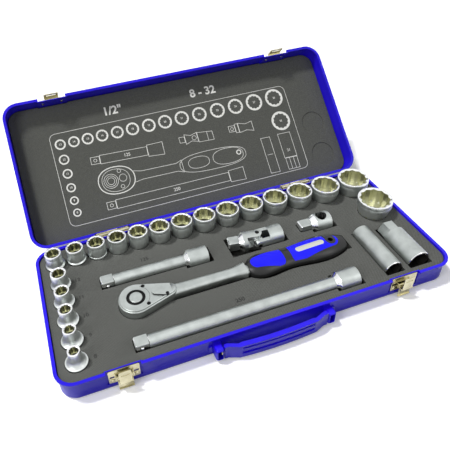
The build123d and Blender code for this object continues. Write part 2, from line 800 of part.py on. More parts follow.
def latch_claw(x):
    """The slotted claw plate that stands in front of the rim, with trunnions rolled in."""
    eye_radius = claw_pin / 2 + 0.5
    front = claw_pin_y - eye_radius
    half = claw_width / 2
    plate = solid_box(x - half, x + half, front, front + 0.9, claw_pin_z, claw_top)
    plate = fillet(plate.edges().filter_by(Axis.Y).group_by(Axis.Z)[-1], 1.5)
    slot_z = tray_height - 2.2
    plate -= solid_box(x - 4.4, x + 4.4, front - 1, front + 2, slot_z - 0.9, slot_z + 0.9)
    plate += pin_rod(eye_radius, claw_width, x, claw_pin_y, claw_pin_z)
    return plate + pin_rod(claw_pin / 2, claw_width + 1.8, x, claw_pin_y, claw_pin_z)


def lid_keeper(x):
    """The keeper on the lid: an eared plate whose strap hangs past the closed seam."""
    low = lid_rim + 1.5
    plate = solid_box(x - 16, x + 16, latch_face - plate_thickness, latch_face,
                      low, low + keeper_height)
    plate = fillet(plate.edges().filter_by(Axis.Y), 1.2)
    step_z = lid_rim + 5
    strap = solid_box(x - 9, x + 9, strap_y, strap_y + plate_thickness, strap_bottom, step_z + 1)
    strap = fillet(strap.edges().filter_by(Axis.Y).group_by(Axis.Z)[0], 1.5)
    strap -= solid_box(x - 6, x + 6, strap_y - 1, strap_y + 2, strap_bottom + 3, strap_bottom + 6.4)
    return plate + strap + solid_box(x - 9, x + 9, strap_y, latch_face, step_z, step_z + 1)


# ---- Hinges, on the back wall ----
def hinge_leaf(x, side):
    """A leaf drawn closed: side -1 is the tray's, with two knuckles; side 1 the lid's, with one."""
    third = hinge_width / 3
    near = hinge_barrel / 2 + 0.6
    leaf_back = wall_y + leaf_thickness

    def slab(x0, x1, y0, y1, z0, z1):
        low, high = sorted((hinge_z + side * z0, hinge_z + side * z1))
        return solid_box(x0, x1, y0, y1, low, high)

    leaf = slab(x - hinge_width / 2, x + hinge_width / 2, wall_y, leaf_back, near, hinge_reach)
    outer_edges = leaf.edges().filter_by(Axis.Y).group_by(Axis.Z)
    leaf = fillet(outer_edges[-1] if side > 0 else outer_edges[0], 3.0)
    for offset in ((0,) if side > 0 else (-third, third)):
        width = third - knuckle_gap
        low, high = x + offset - width / 2, x + offset + width / 2
        leaf += slab(low, high, wall_y, leaf_back, 0, near)
        leaf += slab(low, high, wall_y, hinge_y, 0, hinge_barrel / 2)
        leaf += pin_rod(hinge_barrel / 2, width, x + offset, hinge_y, hinge_z)
    return leaf - pin_rod(hinge_pin / 2 + running_gap, hinge_width + 2, x, hinge_y, hinge_z)


def stop_toe(x):
    """The toe on the lid's knuckle, drawn where it lands on the tray's leaf with the lid open."""
    width = hinge_width / 3 - knuckle_gap
    toe_y = wall_y + leaf_thickness + 0.02
    barrel_bottom = hinge_z - hinge_barrel / 2
    toe = solid_box(x - width / 2, x + width / 2, toe_y, toe_y + 1.6,
                    barrel_bottom - 1.8, barrel_bottom + 1.0)
    return toe - pin_rod(hinge_pin / 2 + 0.5, width + 2, x, hinge_y, hinge_z)


# ---- Handle ----
def handle_bracket(x):
    """A moulded box on the front wall, open in front, whose inner cheek holds the handle's pin."""
    z = handle_pivot_height
    half, tall = bracket_width / 2, bracket_height / 2
    box = solid_box(x - half, x + half, -wall_y - bracket_depth, -wall_y, z - tall, z + tall)
    box = fillet(box.edges().filter_by(Axis.Y), 2.0)
    box = fillet(box.edges().filter_by(Axis.X).group_by(Axis.Y)[0], 3.0)
    pocket = solid_box(x - half + bracket_wall, x + half - bracket_wall, -wall_y - bracket_depth - 1,
                       -wall_y - bracket_wall, z - tall + bracket_wall, z + tall - bracket_wall)
    cheek = x + half - bracket_wall if x < 0 else x - half - 1
    outer = x - half - bracket_flange if x < 0 else x + half - 1
    flange = solid_box(outer, outer + bracket_flange + 1, -wall_y - bracket_wall, -wall_y,
                       z - bracket_flange_height / 2, z + bracket_flange_height / 2)
    box += fillet(flange.edges().filter_by(Axis.Y), 1.2)
    return box - pocket - rod(handle_pin / 2, bracket_wall + 1, cheek, handle_pivot_y, z, "X")


def handle_end():
    """Where the handle's end faces the bracket, right of the middle."""
    return bracket_spacing / 2 - bracket_width / 2 - handle_end_gap


def handle_plan():
    """Plan outline of the handle: straight ends, two arms and the bowed grip between them."""
    end, half = handle_end(), handle_grip_half
    end_front = handle_pivot_y - handle_end_thickness / 2
    end_back = end_front + handle_end_thickness
    front = handle_pivot_y - handle_reach
    back = front + handle_grip_thickness
    outer = ThreePointArc((-half, front), (0, front - handle_bow), (half, front))
    inner = ThreePointArc((half - 3, back), (0, back - handle_bow), (3 - half, back))
    right = Polyline((half, front), (end - 4, end_front), (end, end_front), (end, end_back),
                     (end - 4, end_back), (half, back - 0.8), (half - 3, back))
    left = Polyline((3 - half, back), (-half, back - 0.8), (4 - end, end_back), (-end, end_back),
                    (-end, end_front), (4 - end, end_front), (-half, front))
    return make_face(outer + right + inner + left)


def handle_pin_at(side):
    """A headed pin from the bracket's pocket through its inner cheek into the handle's end."""
    cheek = handle_end() + handle_end_gap + bracket_wall
    length = handle_pin_depth + handle_end_gap + bracket_wall
    pin = rod(handle_pin / 2, length, cheek - length, 0, 0, "X")
    pin += rod(handle_pin, 1.0, cheek, 0, 0, "X")
    pin = pin if side > 0 else mirror(pin, about=Plane.YZ)
    return Pos(0, handle_pivot_y, handle_pivot_height) * pin


def carry_handle():
    """The moulded bail: straight ends bored for the pins, and a bowed grip with two long grooves."""
    low = handle_pivot_height - handle_height / 2
    handle = Pos(0, 0, low) * extrude(handle_plan(), handle_height)
    handle = fillet(handle.edges().filter_by(Axis.Z).group_by(Axis.Y)[-1], 1.2)
    reach = handle_grip_half - 3
    shift = handle_groove_depth - handle_grip_thickness
    for start, tall in ((4.6, 2.4), (-3.6, 4.0)):
        band = Pos(0, shift, handle_pivot_height + start) * extrude(handle_plan(), tall)
        middle = solid_box(-reach, reach, 2 * handle_pivot_y, handle_pivot_y, 0, tray_height)
        handle -= band & middle
    bore = handle_pin_depth + 0.5
    for x in (-handle_end() - 1, handle_end() - bore):
        handle -= rod(handle_pin / 2 + running_gap, bore + 1, x, handle_pivot_y,
                      handle_pivot_height, "X")
    return handle


# ---- Rivets ----
def rivet_places():
    """Part, X, wall face, height, outward side and plate of every rivet, with the lid closed."""
    for side in (-1, 1):
        latch_x = side * latch_spacing / 2
        for ear in (-latch_ear, latch_ear):
            yield "base", latch_x + ear, latch_face, latch_pin_z - 5.0, -1, plate_thickness
            yield "lid", latch_x + ear, latch_face, lid_rim + 10.5, -1, plate_thickness
        hinge_x = side * hinge_spacing / 2
        for offset in (-hinge_width / 3, hinge_width / 3):
            yield "base", hinge_x + offset, wall_y, hinge_z - hinge_rivet, 1, leaf_thickness
            yield "lid", hinge_x + offset, wall_y, hinge_z + hinge_rivet, 1, leaf_thickness
        bracket_x = side * bracket_spacing / 2
        yield "base", bracket_x, -wall_y, handle_pivot_height, -1, bracket_wall


def rivet(x, face, z, side, plate):
    """A rivet through a wall: a domed head outside, a shank, and a flat tail inside."""
    head, shank = rivet_head / 2, rivet_shank / 2
    through = sheet + plate
    body = revolved([(0, -rivet_tail), (head - 0.4, -rivet_tail), (head - 0.4, 0), (shank, 0),
                     (shank, through), (head, through), (head - 0.5, through + rivet_rise * 0.7),
                     (head - 1.3, through + rivet_rise), (0, through + rivet_rise)])
    turn = Rot(90, 0, 0) if side < 0 else Rot(-90, 0, 0)
    return Pos(x, face - side * sheet, z) * turn * body


def rivets(part):
    """All rivets of the base or of the closed lid."""
    return [rivet(*place[1:]) for place in rivet_places() if place[0] == part]


def rivet_holes(part):
    """The cutter for all rivet holes of the base or of the closed lid."""
    holes = [rod(rivet_shank / 2, 12, x, face - 6, z, "Y")
             for name, x, face, z, side, plate in rivet_places() if name == part]
    return Part() + holes


def drilled(piece, part):
    """A sheet piece with its rivet holes."""
    return piece - rivet_holes(part)


# ---- Foam in the tray ----
def bar_pocket(x, y, segments):
    """Pocket for a bar along X: a slot per (length, diameter) stretch, longer at its far end."""
    cutters = []
    start = x - pocket_gap
    for step, (length, diameter) in enumerate(segments):
        half = diameter / 2 + pocket_gap
        low = bar_axis - diameter / 2 - seat_gap
        extra = (pocket_gap if step == 0 else 0) + (finger_gap if step == len(segments) - 1 else 0)
        end = start + length + extra
        cutters.append(solid_box(start, end, y - half, y + half, low, foam_top + 1))
        start = end
    return cutters


def extension_segments(length):
    """Length and diameter of the shaft and of the coned end of an extension bar."""
    end = bar_cone + bar_end_length
    return (length - end, bar_diameter), (end, bar_end_diameter)


def joint_pocket():
    """Pocket for the universal joint: wide where its drive end swings, deep where its forks tip."""
    pin = joint_x + joint_half_length
    half = joint_diameter / 2 + pocket_gap
    swing = math.sin(math.radians(joint_swing))
    wide = half + (joint_throat + joint_collar + joint_cone) * swing
    low = joint_axis - joint_diameter / 2 - seat_gap
    deep = joint_axis - math.hypot(joint_diameter, joint_block) / 2 - seat_gap
    end = pin + joint_socket_length + finger_gap
    return [solid_box(joint_x - pocket_gap, pin, joint_y - wide, joint_y + wide, low, foam_top + 1),
            solid_box(pin, end, joint_y - half, joint_y + half, low, foam_top + 1),
            solid_box(pin - joint_well, pin + joint_well, joint_y - half, joint_y + half, deep,
                      foam_top)]


def ratchet_pocket():
    """The pocket that follows the ratchet's outline, with a well for its drive square."""
    gap = pocket_gap
    head = pear(head_radius + gap, head_tail_radius + gap, head_reach)
    cutter = Pos(0, 0, head_bottom) * extrude(head, cutter_top - head_bottom)
    neck_half = neck_flare / 2 + gap
    cutter += solid_box(0, grip_start, -neck_half, neck_half, head_bottom, cutter_top)
    stations = grip_stations()
    back = [(grip_start + s * grip_length, w + 2 * gap) for s, w, h in stations]
    front = [(x, -y) for x, y in reversed(back)]
    sides = Spline(*back) + Spline(*front)
    ends = Line(back[-1], front[0]) + Line(front[-1], back[0])
    grip = make_face(sides + ends)
    low = neck_axis - max(h for s, w, h in stations) - seat_gap
    cutter += Pos(0, 0, low) * extrude(grip, cutter_top - low)
    end = grip_start + grip_length
    cutter += solid_box(end, end + finger_gap, -finger_width / 2, finger_width / 2, low, cutter_top)
    well = sheet + foam_web
    return cutter + rod(drive_well_radius, cutter_top - well, 0, 0, well)


def tray_foam():
    """The tray's foam with a pocket for every tool."""
    foam = foam_block(sheet, foam_top)
    for size, x, y in socket_places():
        foam -= rod(pocket_radius(size), cutter_top, x, y, socket_seat(size))
    cutters = bar_pocket(long_bar_x, long_bar_y, extension_segments(long_bar_length))
    cutters += bar_pocket(short_bar_x, short_bar_y, extension_segments(short_bar_length))
    cutters += bar_pocket(adaptor_x, adaptor_y, ((drive_length, drive_square),
                                                 (adaptor_collar + adaptor_body, adaptor_diameter)))
    cutters += joint_pocket()
    for cutter in cutters:
        foam -= cutter
    for x, diameter, length in plug_places():
        half = diameter / 2 + pocket_gap
        foam -= solid_box(x - half, x + half, plug_mouth_y - finger_gap,
                          plug_mouth_y + length + pocket_gap,
                          foam_top - diameter / 2 - seat_gap, cutter_top)
    return foam - Pos(ratchet_x, ratchet_y, 0) * ratchet_pocket()


def plug_places():
    """X, diameter and length of the spark plug sockets."""
    return ((small_plug_x, small_plug_diameter, small_plug_length),
            (large_plug_x, large_plug_diameter, large_plug_length))


# ---- Foam in the lid, drawn closed ----
def lid_foam():
    """The lid's foam, pressed in a little over the two tallest sockets."""
    foam = foam_block(sheet, lid_height - lid_foam_drop)
    foam = as_lid(foam)
    for size, x, y in socket_places():
        if size in (corner_size, row_sizes[-1]):
            foam -= rod(press_mark_radius, press_mark_depth, x, y, lid_foam_face)
    return foam


# ---- The set, piece by piece ----
def sided(make, spacing):
    """A left and a right copy of a piece."""
    return [make(-spacing / 2), make(spacing / 2)]


def case_nodes():
    """The case, its foam, hinges, latches, handle and rivets."""
    lid_leaves = [opened(hinge_leaf(x, 1)) + stop_toe(x) for x in (-hinge_spacing / 2,
                                                                   hinge_spacing / 2)]
    base_leaves = sided(lambda x: hinge_leaf(x, -1), hinge_spacing)
    brackets = sided(handle_bracket, bracket_spacing)
    plates = sided(latch_plate, latch_spacing)
    keepers = sided(lid_keeper, latch_spacing)
    return {
        "base_tray": drilled(pressed_pan(tray_height), "base"),
        "lid_shell": opened(drilled(as_lid(pressed_pan(lid_height)), "lid")),
        "base_foam": tray_foam(),
        "lid_foam": opened(lid_foam()),
        "hinge_base_leaves": [drilled(leaf, "base") for leaf in base_leaves],
        "hinge_lid_leaves": [leaf - opened(rivet_holes("lid")) for leaf in lid_leaves],
        "hinge_pins": sided(lambda x: pin_rod(hinge_pin / 2, hinge_width + 0.8, x, hinge_y, hinge_z),
                            hinge_spacing),
        "latch_plates": [drilled(plate, "base") for plate in plates],
        "latch_pins": sided(lambda x: pin_rod(latch_pin / 2, lever_width + 3.6, x, latch_pin_y,
                                              latch_pin_z), latch_spacing),
        "lid_keepers": [opened(drilled(keeper, "lid")) for keeper in keepers],
        "latch_lever_left": latch_lever(-latch_spacing / 2),
        "latch_lever_right": latch_lever(latch_spacing / 2),
        "latch_claw_left": latch_claw(-latch_spacing / 2),
        "latch_claw_right": latch_claw(latch_spacing / 2),
        "carry_handle": carry_handle(),
        "handle_brackets": [drilled(bracket, "base") for bracket in brackets],
        "handle_pins": [handle_pin_at(side) for side in (-1, 1)],
        "base_rivets": rivets("base"),
        "lid_rivets": [opened(one) for one in rivets("lid")],
    }


def tool_nodes():
    """Every tool in its pocket."""
    nodes = {}
    for size, x, y in socket_places():
        nodes[f"socket_{size}"] = Pos(x, y, socket_seat(size)) * socket(size)
    for name, length, x, y in (("extension_bar_long", long_bar_length, long_bar_x, long_bar_y),
                               ("extension_bar_short", short_bar_length, short_bar_x, short_bar_y)):
        nodes[name] = [lay_along_x(shape, x, y, bar_axis)
                       for shape in (extension_bar(length), detent())]
    nodes["sliding_adaptor"] = lay_along_x(sliding_adaptor(), adaptor_x, adaptor_y, bar_axis)
    pin = joint_x + joint_half_length
    centre = Pos(pin, joint_y, joint_axis)
    swung = Rot(0, 0, -joint_swing) * lay_along_x(joint_drive_yoke(), 0, 0, 0)
    nodes["joint_drive_yoke"] = centre * swung
    turned = Rot(0, 0, 180) * Rot(90, 0, 0) * lay_along_x(joint_socket_yoke(), 0, 0, 0)
    nodes["joint_socket_yoke"] = centre * turned
    nodes["joint_cross"] = centre * lay_along_x(joint_cross(), 0, 0, 0)
    nodes["joint_pins"] = [centre * lay_along_x(one, 0, 0, 0) for one in joint_pins()]
    for name, x, af, diameter, length, neck in (
            ("small", small_plug_x, small_plug_af, small_plug_diameter, small_plug_length, 0),
            ("large", large_plug_x, large_plug_af, large_plug_diameter, large_plug_length,
             large_plug_neck)):
        laid = Pos(x, plug_mouth_y + length, foam_top) * Rot(90, 0, 0)
        nodes[f"plug_socket_{name}"] = laid * plug_socket(af, diameter, length, large_plug_neck_af,
                                                          neck)
        nodes[f"plug_ring_{name}"] = laid * plug_ring(af, length)
    return nodes


def ratchet_nodes():
    """The ratchet's pieces in place."""
    form = grip_form()
    core = form - tang()
    plate = name_plate(form)
    pads = []
    for prism in grip_prisms():
        pads.append((form & prism) - plate)
        core -= prism
    pieces = {
        "ratchet_body": ratchet_body(),
        "ratchet_cover": cover_plate(),
        "ratchet_screws": cover_screws(),
        "ratchet_gear": drive_gear(),
        "ratchet_pawl": pawl(),
        "ratchet_lever": reversing_lever(),
        "ratchet_button": release_button(),
        "ratchet_grip": core,
        "ratchet_pads": pads,
        "ratchet_plate": plate,
    }
    place = Pos(ratchet_x, ratchet_y, 0)
    return {name: [place * one for one in as_list(piece)] for name, piece in pieces.items()}


def as_list(piece):
    return piece if isinstance(piece, list) else [piece]


def main():
    os.makedirs("parts", exist_ok=True)
    nodes = {**case_nodes(), **tool_nodes(), **ratchet_nodes()}
    for name, piece in nodes.items():
        solids = [solid for one in as_list(piece) for solid in one.solids()]
        export_step(solids[0] if len(solids) == 1 else Compound(solids), f"parts/{name}.step")


main()
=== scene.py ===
# %% [markdown]
# # A half-inch socket set in its steel case
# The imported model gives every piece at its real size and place. This lesson dresses it: the CAD
# solids that have the right shape are copied, cleaned and given eased edges, the sockets are made
# again with true flutes and turned edges, and prints, plates and finishes are added.

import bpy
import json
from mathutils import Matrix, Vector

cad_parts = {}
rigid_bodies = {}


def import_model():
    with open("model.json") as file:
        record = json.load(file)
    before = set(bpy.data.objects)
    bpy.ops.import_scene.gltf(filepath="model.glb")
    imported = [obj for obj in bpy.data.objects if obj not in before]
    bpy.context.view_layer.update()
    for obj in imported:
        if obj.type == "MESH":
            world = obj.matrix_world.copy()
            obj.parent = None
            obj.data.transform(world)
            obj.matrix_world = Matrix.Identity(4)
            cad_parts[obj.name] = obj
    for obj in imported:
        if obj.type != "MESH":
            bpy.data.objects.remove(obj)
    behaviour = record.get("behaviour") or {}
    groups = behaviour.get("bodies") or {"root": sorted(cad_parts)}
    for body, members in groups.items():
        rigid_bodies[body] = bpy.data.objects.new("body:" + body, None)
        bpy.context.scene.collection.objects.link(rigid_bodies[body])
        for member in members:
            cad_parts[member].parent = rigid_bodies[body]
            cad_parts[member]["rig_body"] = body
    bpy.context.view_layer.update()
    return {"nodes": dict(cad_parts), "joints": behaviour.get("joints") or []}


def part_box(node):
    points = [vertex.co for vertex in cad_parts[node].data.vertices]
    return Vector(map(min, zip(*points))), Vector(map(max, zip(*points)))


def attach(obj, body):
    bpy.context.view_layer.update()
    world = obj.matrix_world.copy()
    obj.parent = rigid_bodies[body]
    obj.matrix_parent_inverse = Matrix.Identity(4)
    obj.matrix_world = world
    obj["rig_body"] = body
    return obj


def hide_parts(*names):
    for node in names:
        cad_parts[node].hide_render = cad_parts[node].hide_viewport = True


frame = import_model()

# %% Modules and units
import json
import math

import bmesh
import bpy
from mathutils import Matrix, Vector

MM = 0.001
scene = bpy.context.scene

# %% [markdown]
# ## Small tools
# A colour is easiest to choose as the hex value a painter would give, but the shaders work in
# linear light, so one function turns it. Node trees are easiest to read when a node, its settings
# and its links are made in one call, so one function does that too.


# %% Colours and nodes
def linear(hex_code):
    """An sRGB hex colour as linear RGBA."""
    parts = [int(hex_code[i:i + 2], 16) / 255 for i in (1, 3, 5)]
    return (*[c / 12.92 if c <= 0.04045 else ((c + 0.055) / 1.055) ** 2.4 for c in parts], 1.0)


def add_node(tree, kind, inputs=None, **settings):
    """Adds a node; an input that is another node's socket is linked, any other is a value."""
    node = tree.nodes.new("ShaderNode" + kind)
    for name, value in settings.items():
        setattr(node, name, value)
    for name, value in (inputs or {}).items():
        if isinstance(value, bpy.types.NodeSocket):
            tree.links.new(value, node.inputs[name])
        else:
            node.inputs[name].default_value = value
    return node


def new_material(name, **values):
    """A material with one Principled shader, whose plain values are set on its own sockets."""
    material = bpy.data.materials.new(name)
    material.use_nodes = True
    tree = material.node_tree
    tree.nodes.clear()
    shader = add_node(tree, "BsdfPrincipled", values)
    add_node(tree, "OutputMaterial", {"Surface": shader.outputs[0]})
    return material, tree, shader


def object_place(tree, turn=(0, 0, 0), stretch=(1, 1, 1)):
    """Object coordinates, turned and stretched for a pattern."""
    place = add_node(tree, "TexCoord")
    return add_node(tree, "Mapping", {"Vector": place.outputs["Object"], "Rotation": turn,
                                      "Scale": stretch}).outputs[0]


def shade_between(tree, factor, low_colour, high_colour, low=0.0, high=1.0):
    """A colour that goes from one to the other as the factor goes from low to high."""
    ramp = add_node(tree, "ValToRGB", {"Fac": factor})
    ramp.color_ramp.elements[0].position = low
    ramp.color_ramp.elements[0].color = linear(low_colour)
    ramp.color_ramp.elements[1].position = high
    ramp.color_ramp.elements[1].color = linear(high_colour)
    return ramp.outputs[0]


def relief(tree, shader, height, depth):
    """Turns a height between 0 and 1 into bump of that depth, in metres."""
    bump = add_node(tree, "Bump", {"Height": height, "Distance": depth, "Strength": 1.0})
    tree.links.new(bump.outputs[0], shader.inputs["Normal"])


# %% [markdown]
# ## Pieces
# Every piece is a mesh in the model's own frame, riding on the body it belongs to. Pressed, forged
# and moulded pieces start as copies of their CAD solids, which arrive as loose triangles: a copy
# is merged, its flat faces are joined, and a Bevel modifier eases its edges as tumbling, plating
# and moulding do. Eased edges are what catch the light on real metal.


# %% Making a piece
def new_piece(name, bm, body, materials, smooth_angle=35.0):
    """Makes an object of a bmesh, shades it and lets it ride on a body."""
    mesh = bpy.data.meshes.new(name)
    bm.to_mesh(mesh)
    bm.free()
    for material in materials:
        mesh.materials.append(material)
    mesh.polygons.foreach_set("use_smooth", [True] * len(mesh.polygons))
    mesh.set_sharp_from_angle(angle=math.radians(smooth_angle))
    piece = bpy.data.objects.new(name, mesh)
    scene.collection.objects.link(piece)
    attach(piece, body)
    return piece


def cad_copy(node, join_flats=True):
    """The CAD node's solid as a merged bmesh with its flat faces joined."""
    bm = bmesh.new()
    bm.from_mesh(frame["nodes"][node].data)
    bmesh.ops.remove_doubles(bm, verts=bm.verts, dist=2e-6)
    if not join_flats:
        return bm
    bmesh.ops.dissolve_degenerate(bm, dist=1e-6, edges=bm.edges)
    bmesh.ops.dissolve_limit(bm, angle_limit=math.radians(0.6), verts=bm.verts, edges=bm.edges,
                             delimit={"NORMAL"})
    return bm


def ease_edges(piece, width, segments=2, angle=32.0):
    """Rounds the sharp edges of a piece by a width in metres."""
    bevel = piece.modifiers.new("eased_edges", "BEVEL")
    bevel.width = width
    bevel.segments = segments
    bevel.limit_method = "ANGLE"
    bevel.angle_limit = math.radians(angle)
    bevel.harden_normals = True
    bevel.miter_outer = "MITER_ARC"


def dressed(node, name, materials, edge, zone=None, segments=2, smooth_angle=35.0):
    """A finished copy of a CAD node that stands for it; zone(face) picks a material's number."""
    bm = cad_copy(node, join_flats=edge > 0)
    if zone:
        for face in bm.faces:
            face.material_index = zone(face)
    piece = new_piece(name, bm, frame["nodes"][node]["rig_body"], materials, smooth_angle)
    if edge:
        ease_edges(piece, edge, segments)
    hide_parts(node)
    return piece


# %% [markdown]
# ## Camera
# The camera looks down on the open case from the front, a little from its left, as someone at a
# bench would. It is placed by its angles round an aim point on the bench behind the case. The
# lens shift keeps the long lid in the frame, and the small roll is that of a hand-held camera.

# %% Camera
view_azimuth = math.radians(-16.56)
view_elevation = math.radians(38.03)
view_roll = math.radians(-3.57)
view_distance = 0.7476
aim_point = Vector((-0.0059, 0.1913, 0.0))
back = Vector((math.sin(view_azimuth) * math.cos(view_elevation),
               -math.cos(view_azimuth) * math.cos(view_elevation), math.sin(view_elevation)))
camera_data = bpy.data.cameras.new("bench_camera")
camera_data.sensor_width = 36.0
camera_data.lens = 41.1
camera_data.shift_x = 0.0994
camera_data.shift_y = -0.0951
camera = bpy.data.objects.new("bench_camera", camera_data)
scene.collection.objects.link(camera)
turn = back.to_track_quat("Z", "Y").to_matrix().to_4x4()
camera.matrix_world = (Matrix.Translation(aim_point + back * view_distance) @ turn
                       @ Matrix.Rotation(view_roll, 4, "Z"))
scene.camera = camera
print("camera at", [round(c, 3) for c in camera.matrix_world.translation])

# %% [markdown]
# ## Floor and light
# A white paper floor, a distant soft lamp high up on the left, and two soft boxes whose
# mirror images make the bright streaks along the plated tools. The air is plain white to the
# camera, mid grey as fill, and for the metals it brightens towards the ceiling, as a white studio
# does. To the camera alone the paper glows a little, so it stays white while shadows show, and
# it throws as little light back onto matt things as a grey bench, so the case's sides stay deep.


# %% Floor
def white_floor():
    material, tree, shader = new_material("matt_white_paper", **{
        "Roughness": 0.9, "Specular IOR Level": 0.1, "Emission Color": linear("#FFFFFF")})
    ray = add_node(tree, "LightPath")
    tree.links.new(shade_between(tree, ray.outputs["Is Diffuse Ray"], "#F7F7F7", "#565656"),
                   shader.inputs["Base Color"])
    glow = add_node(tree, "Math", {0: ray.outputs["Is Camera Ray"], 1: 0.16},
                    operation="MULTIPLY").outputs[0]
    tree.links.new(glow, shader.inputs["Emission Strength"])
    bm = bmesh.new()
    bmesh.ops.create_grid(bm, x_segments=1, y_segments=1, size=6.0)
    mesh = bpy.data.meshes.new("studio_floor")
    bm.to_mesh(mesh)
    bm.free()
    mesh.materials.append(material)
    floor = bpy.data.objects.new("studio_floor", mesh)
    scene.collection.objects.link(floor)


white_floor()


# %% Lights
def soft_box(name, place, aim, width, height, watts):
    lamp = bpy.data.lights.new(name, "AREA")
    lamp.shape = "RECTANGLE"
    lamp.size = width
    lamp.size_y = height
    lamp.energy = watts
    box = bpy.data.objects.new(name, lamp)
    direction = Vector(place) - Vector(aim)
    box.matrix_world = (Matrix.Translation(place)
                        @ direction.to_track_quat("Z", "Y").to_matrix().to_4x4())
    scene.collection.objects.link(box)


def distant_lamp(name, towards, angle, strength):
    lamp = bpy.data.lights.new(name, "SUN")
    lamp.angle = math.radians(angle)
    lamp.energy = strength
    distant = bpy.data.objects.new(name, lamp)
    distant.matrix_world = Vector(towards).to_track_quat("Z", "Y").to_matrix().to_4x4()
    distant.visible_glossy = False
    scene.collection.objects.link(distant)


distant_lamp("key_lamp", (-0.44, 0.24, 1.1), 8.0, 2.8)
soft_box("left_soft_box", (-1.1, -0.5, 0.9), (0, 0.05, 0), 0.5, 1.0, 8.0)
soft_box("right_soft_box", (0.9, -1.1, 1.0), (0, 0.05, 0), 0.5, 0.9, 2.5)


# %% Air
def studio_air():
    world = bpy.data.worlds.new("studio_air")
    world.use_nodes = True
    tree = world.node_tree
    tree.nodes.clear()
    ray = add_node(tree, "LightPath")
    height = add_node(tree, "SeparateXYZ", {0: add_node(tree, "TexCoord").outputs["Generated"]})
    ceiling = add_node(tree, "MapRange", {"Value": height.outputs["Z"], "From Min": 0.1,
                                          "From Max": 0.9, "To Min": 0.9, "To Max": 1.25})
    plain = add_node(tree, "Background", {"Color": linear("#E8E9EB"), "Strength": 0.36})
    mirrored = add_node(tree, "Background", {"Color": linear("#F4F5F6"),
                                             "Strength": ceiling.outputs[0]})
    white = add_node(tree, "Background", {"Color": linear("#FFFFFF"), "Strength": 1.0})
    lit = add_node(tree, "MixShader", {0: ray.outputs["Is Glossy Ray"], 1: plain.outputs[0],
                                       2: mirrored.outputs[0]})
    shown = add_node(tree, "MixShader", {0: ray.outputs["Is Camera Ray"], 1: lit.outputs[0],
                                         2: white.outputs[0]})
    add_node(tree, "OutputWorld", {"Surface": shown.outputs[0]})
    scene.world = world


studio_air()
scene.view_settings.view_transform = "Standard"

# %% [markdown]
# ## Finishes
# Each finish starts from the real material and how its surface was made, and some colours also
# paint light and shade. Enamel is sprayed and baked, so it is glossy with a faint orange peel. Foam
# is rolled, so its skin is ribbed and its cut walls are not, and the cut foam is coloured darker as
# painted shade in the pockets. The tools are blasted before plating, so the chrome is pearly, and a
# polished rim mirrors; the polished chrome and the sockets' chrome are coloured lighter as painted
# highlight, and the bores and small black parts darker as painted shade. The grip is moulded hard
# and shiny, its pads soft and duller.


# %% Grains, as many as fit in a metre
ENAMEL_CLOUDS, ORANGE_PEEL = 14.0, 450.0
FOAM_SKIN_CELLS, CUT_CELLS = 700.0, 900.0
BLASTED_GRAIN, BROACHED_GRAIN, PLATING_PATCHES = 1800.0, 900.0, 90.0
PIGMENT_CLOUDS, MOULDED_GRAIN = 60.0, 1300.0


# %% Stoved enamel
def stoved_blue_enamel():
    """Ultramarine enamel sprayed on steel and baked: glossy, with a faint orange peel."""
    material, tree, shader = new_material("stoved_blue_enamel", **{
        "Roughness": 0.34, "Coat Weight": 0.12, "Coat Roughness": 0.08, "Specular IOR Level": 0.25})
    place = object_place(tree)
    clouds = add_node(tree, "TexNoise", {"Vector": place, "Scale": ENAMEL_CLOUDS, "Detail": 2.0})
    tree.links.new(shade_between(tree, clouds.outputs[0], "#1E0CC4", "#2610D8", 0.3, 0.7),
                   shader.inputs["Base Color"])
    peel = add_node(tree, "TexNoise", {"Vector": place, "Scale": ORANGE_PEEL, "Detail": 1.0})
    relief(tree, shader, peel.outputs[0], 0.00001)
    return material


# %% Foam
def embossed_foam(name, turn, dark, light):
    """Closed-cell EVA sheet, hot-rolled with a fine lattice of ribs about 1.5 mm apart."""
    material, tree, shader = new_material(name, **{"Roughness": 0.85, "Specular IOR Level": 0.25})
    rib_scale = 0.314 / (1.5 * MM)
    ribs = []
    for angle in (math.radians(45), math.radians(-45)):
        place = object_place(tree, (turn, 0, 0))
        place = add_node(tree, "Mapping", {"Vector": place, "Rotation": (0, 0, angle)}).outputs[0]
        ribs.append(add_node(tree, "TexWave", {"Vector": place, "Scale": rib_scale},
                             bands_direction="X").outputs["Fac"])
    lattice = add_node(tree, "Math", {0: ribs[0], 1: ribs[1]}, operation="MULTIPLY").outputs[0]
    cells = add_node(tree, "TexNoise", {"Vector": object_place(tree), "Scale": FOAM_SKIN_CELLS,
                                        "Detail": 3.0}).outputs[0]
    mixed = add_node(tree, "Math", {0: lattice, 1: cells}, operation="ADD").outputs[0]
    tree.links.new(shade_between(tree, mixed, dark, light, 0.45, 1.25),
                   shader.inputs["Base Color"])
    relief(tree, shader, mixed, 0.00012)
    return material


def cut_foam():
    """The same foam where a die has cut it: open cells, no pattern, and a darker colour painted as
    the shade in the pockets.
    """
    material, tree, shader = new_material("die_cut_foam_painted_shade", **{
        "Roughness": 0.95, "Specular IOR Level": 0.15})
    cells = add_node(tree, "TexNoise", {"Vector": object_place(tree), "Scale": CUT_CELLS,
                                        "Detail": 2.0}).outputs[0]
    # The cut foam's colour is darker than the skin's: painted shade for the pockets.
    tree.links.new(shade_between(tree, cells, "#2C2C2A", "#444441", 0.3, 0.7),
                   shader.inputs["Base Color"])
    relief(tree, shader, cells, 0.00015)
    return material


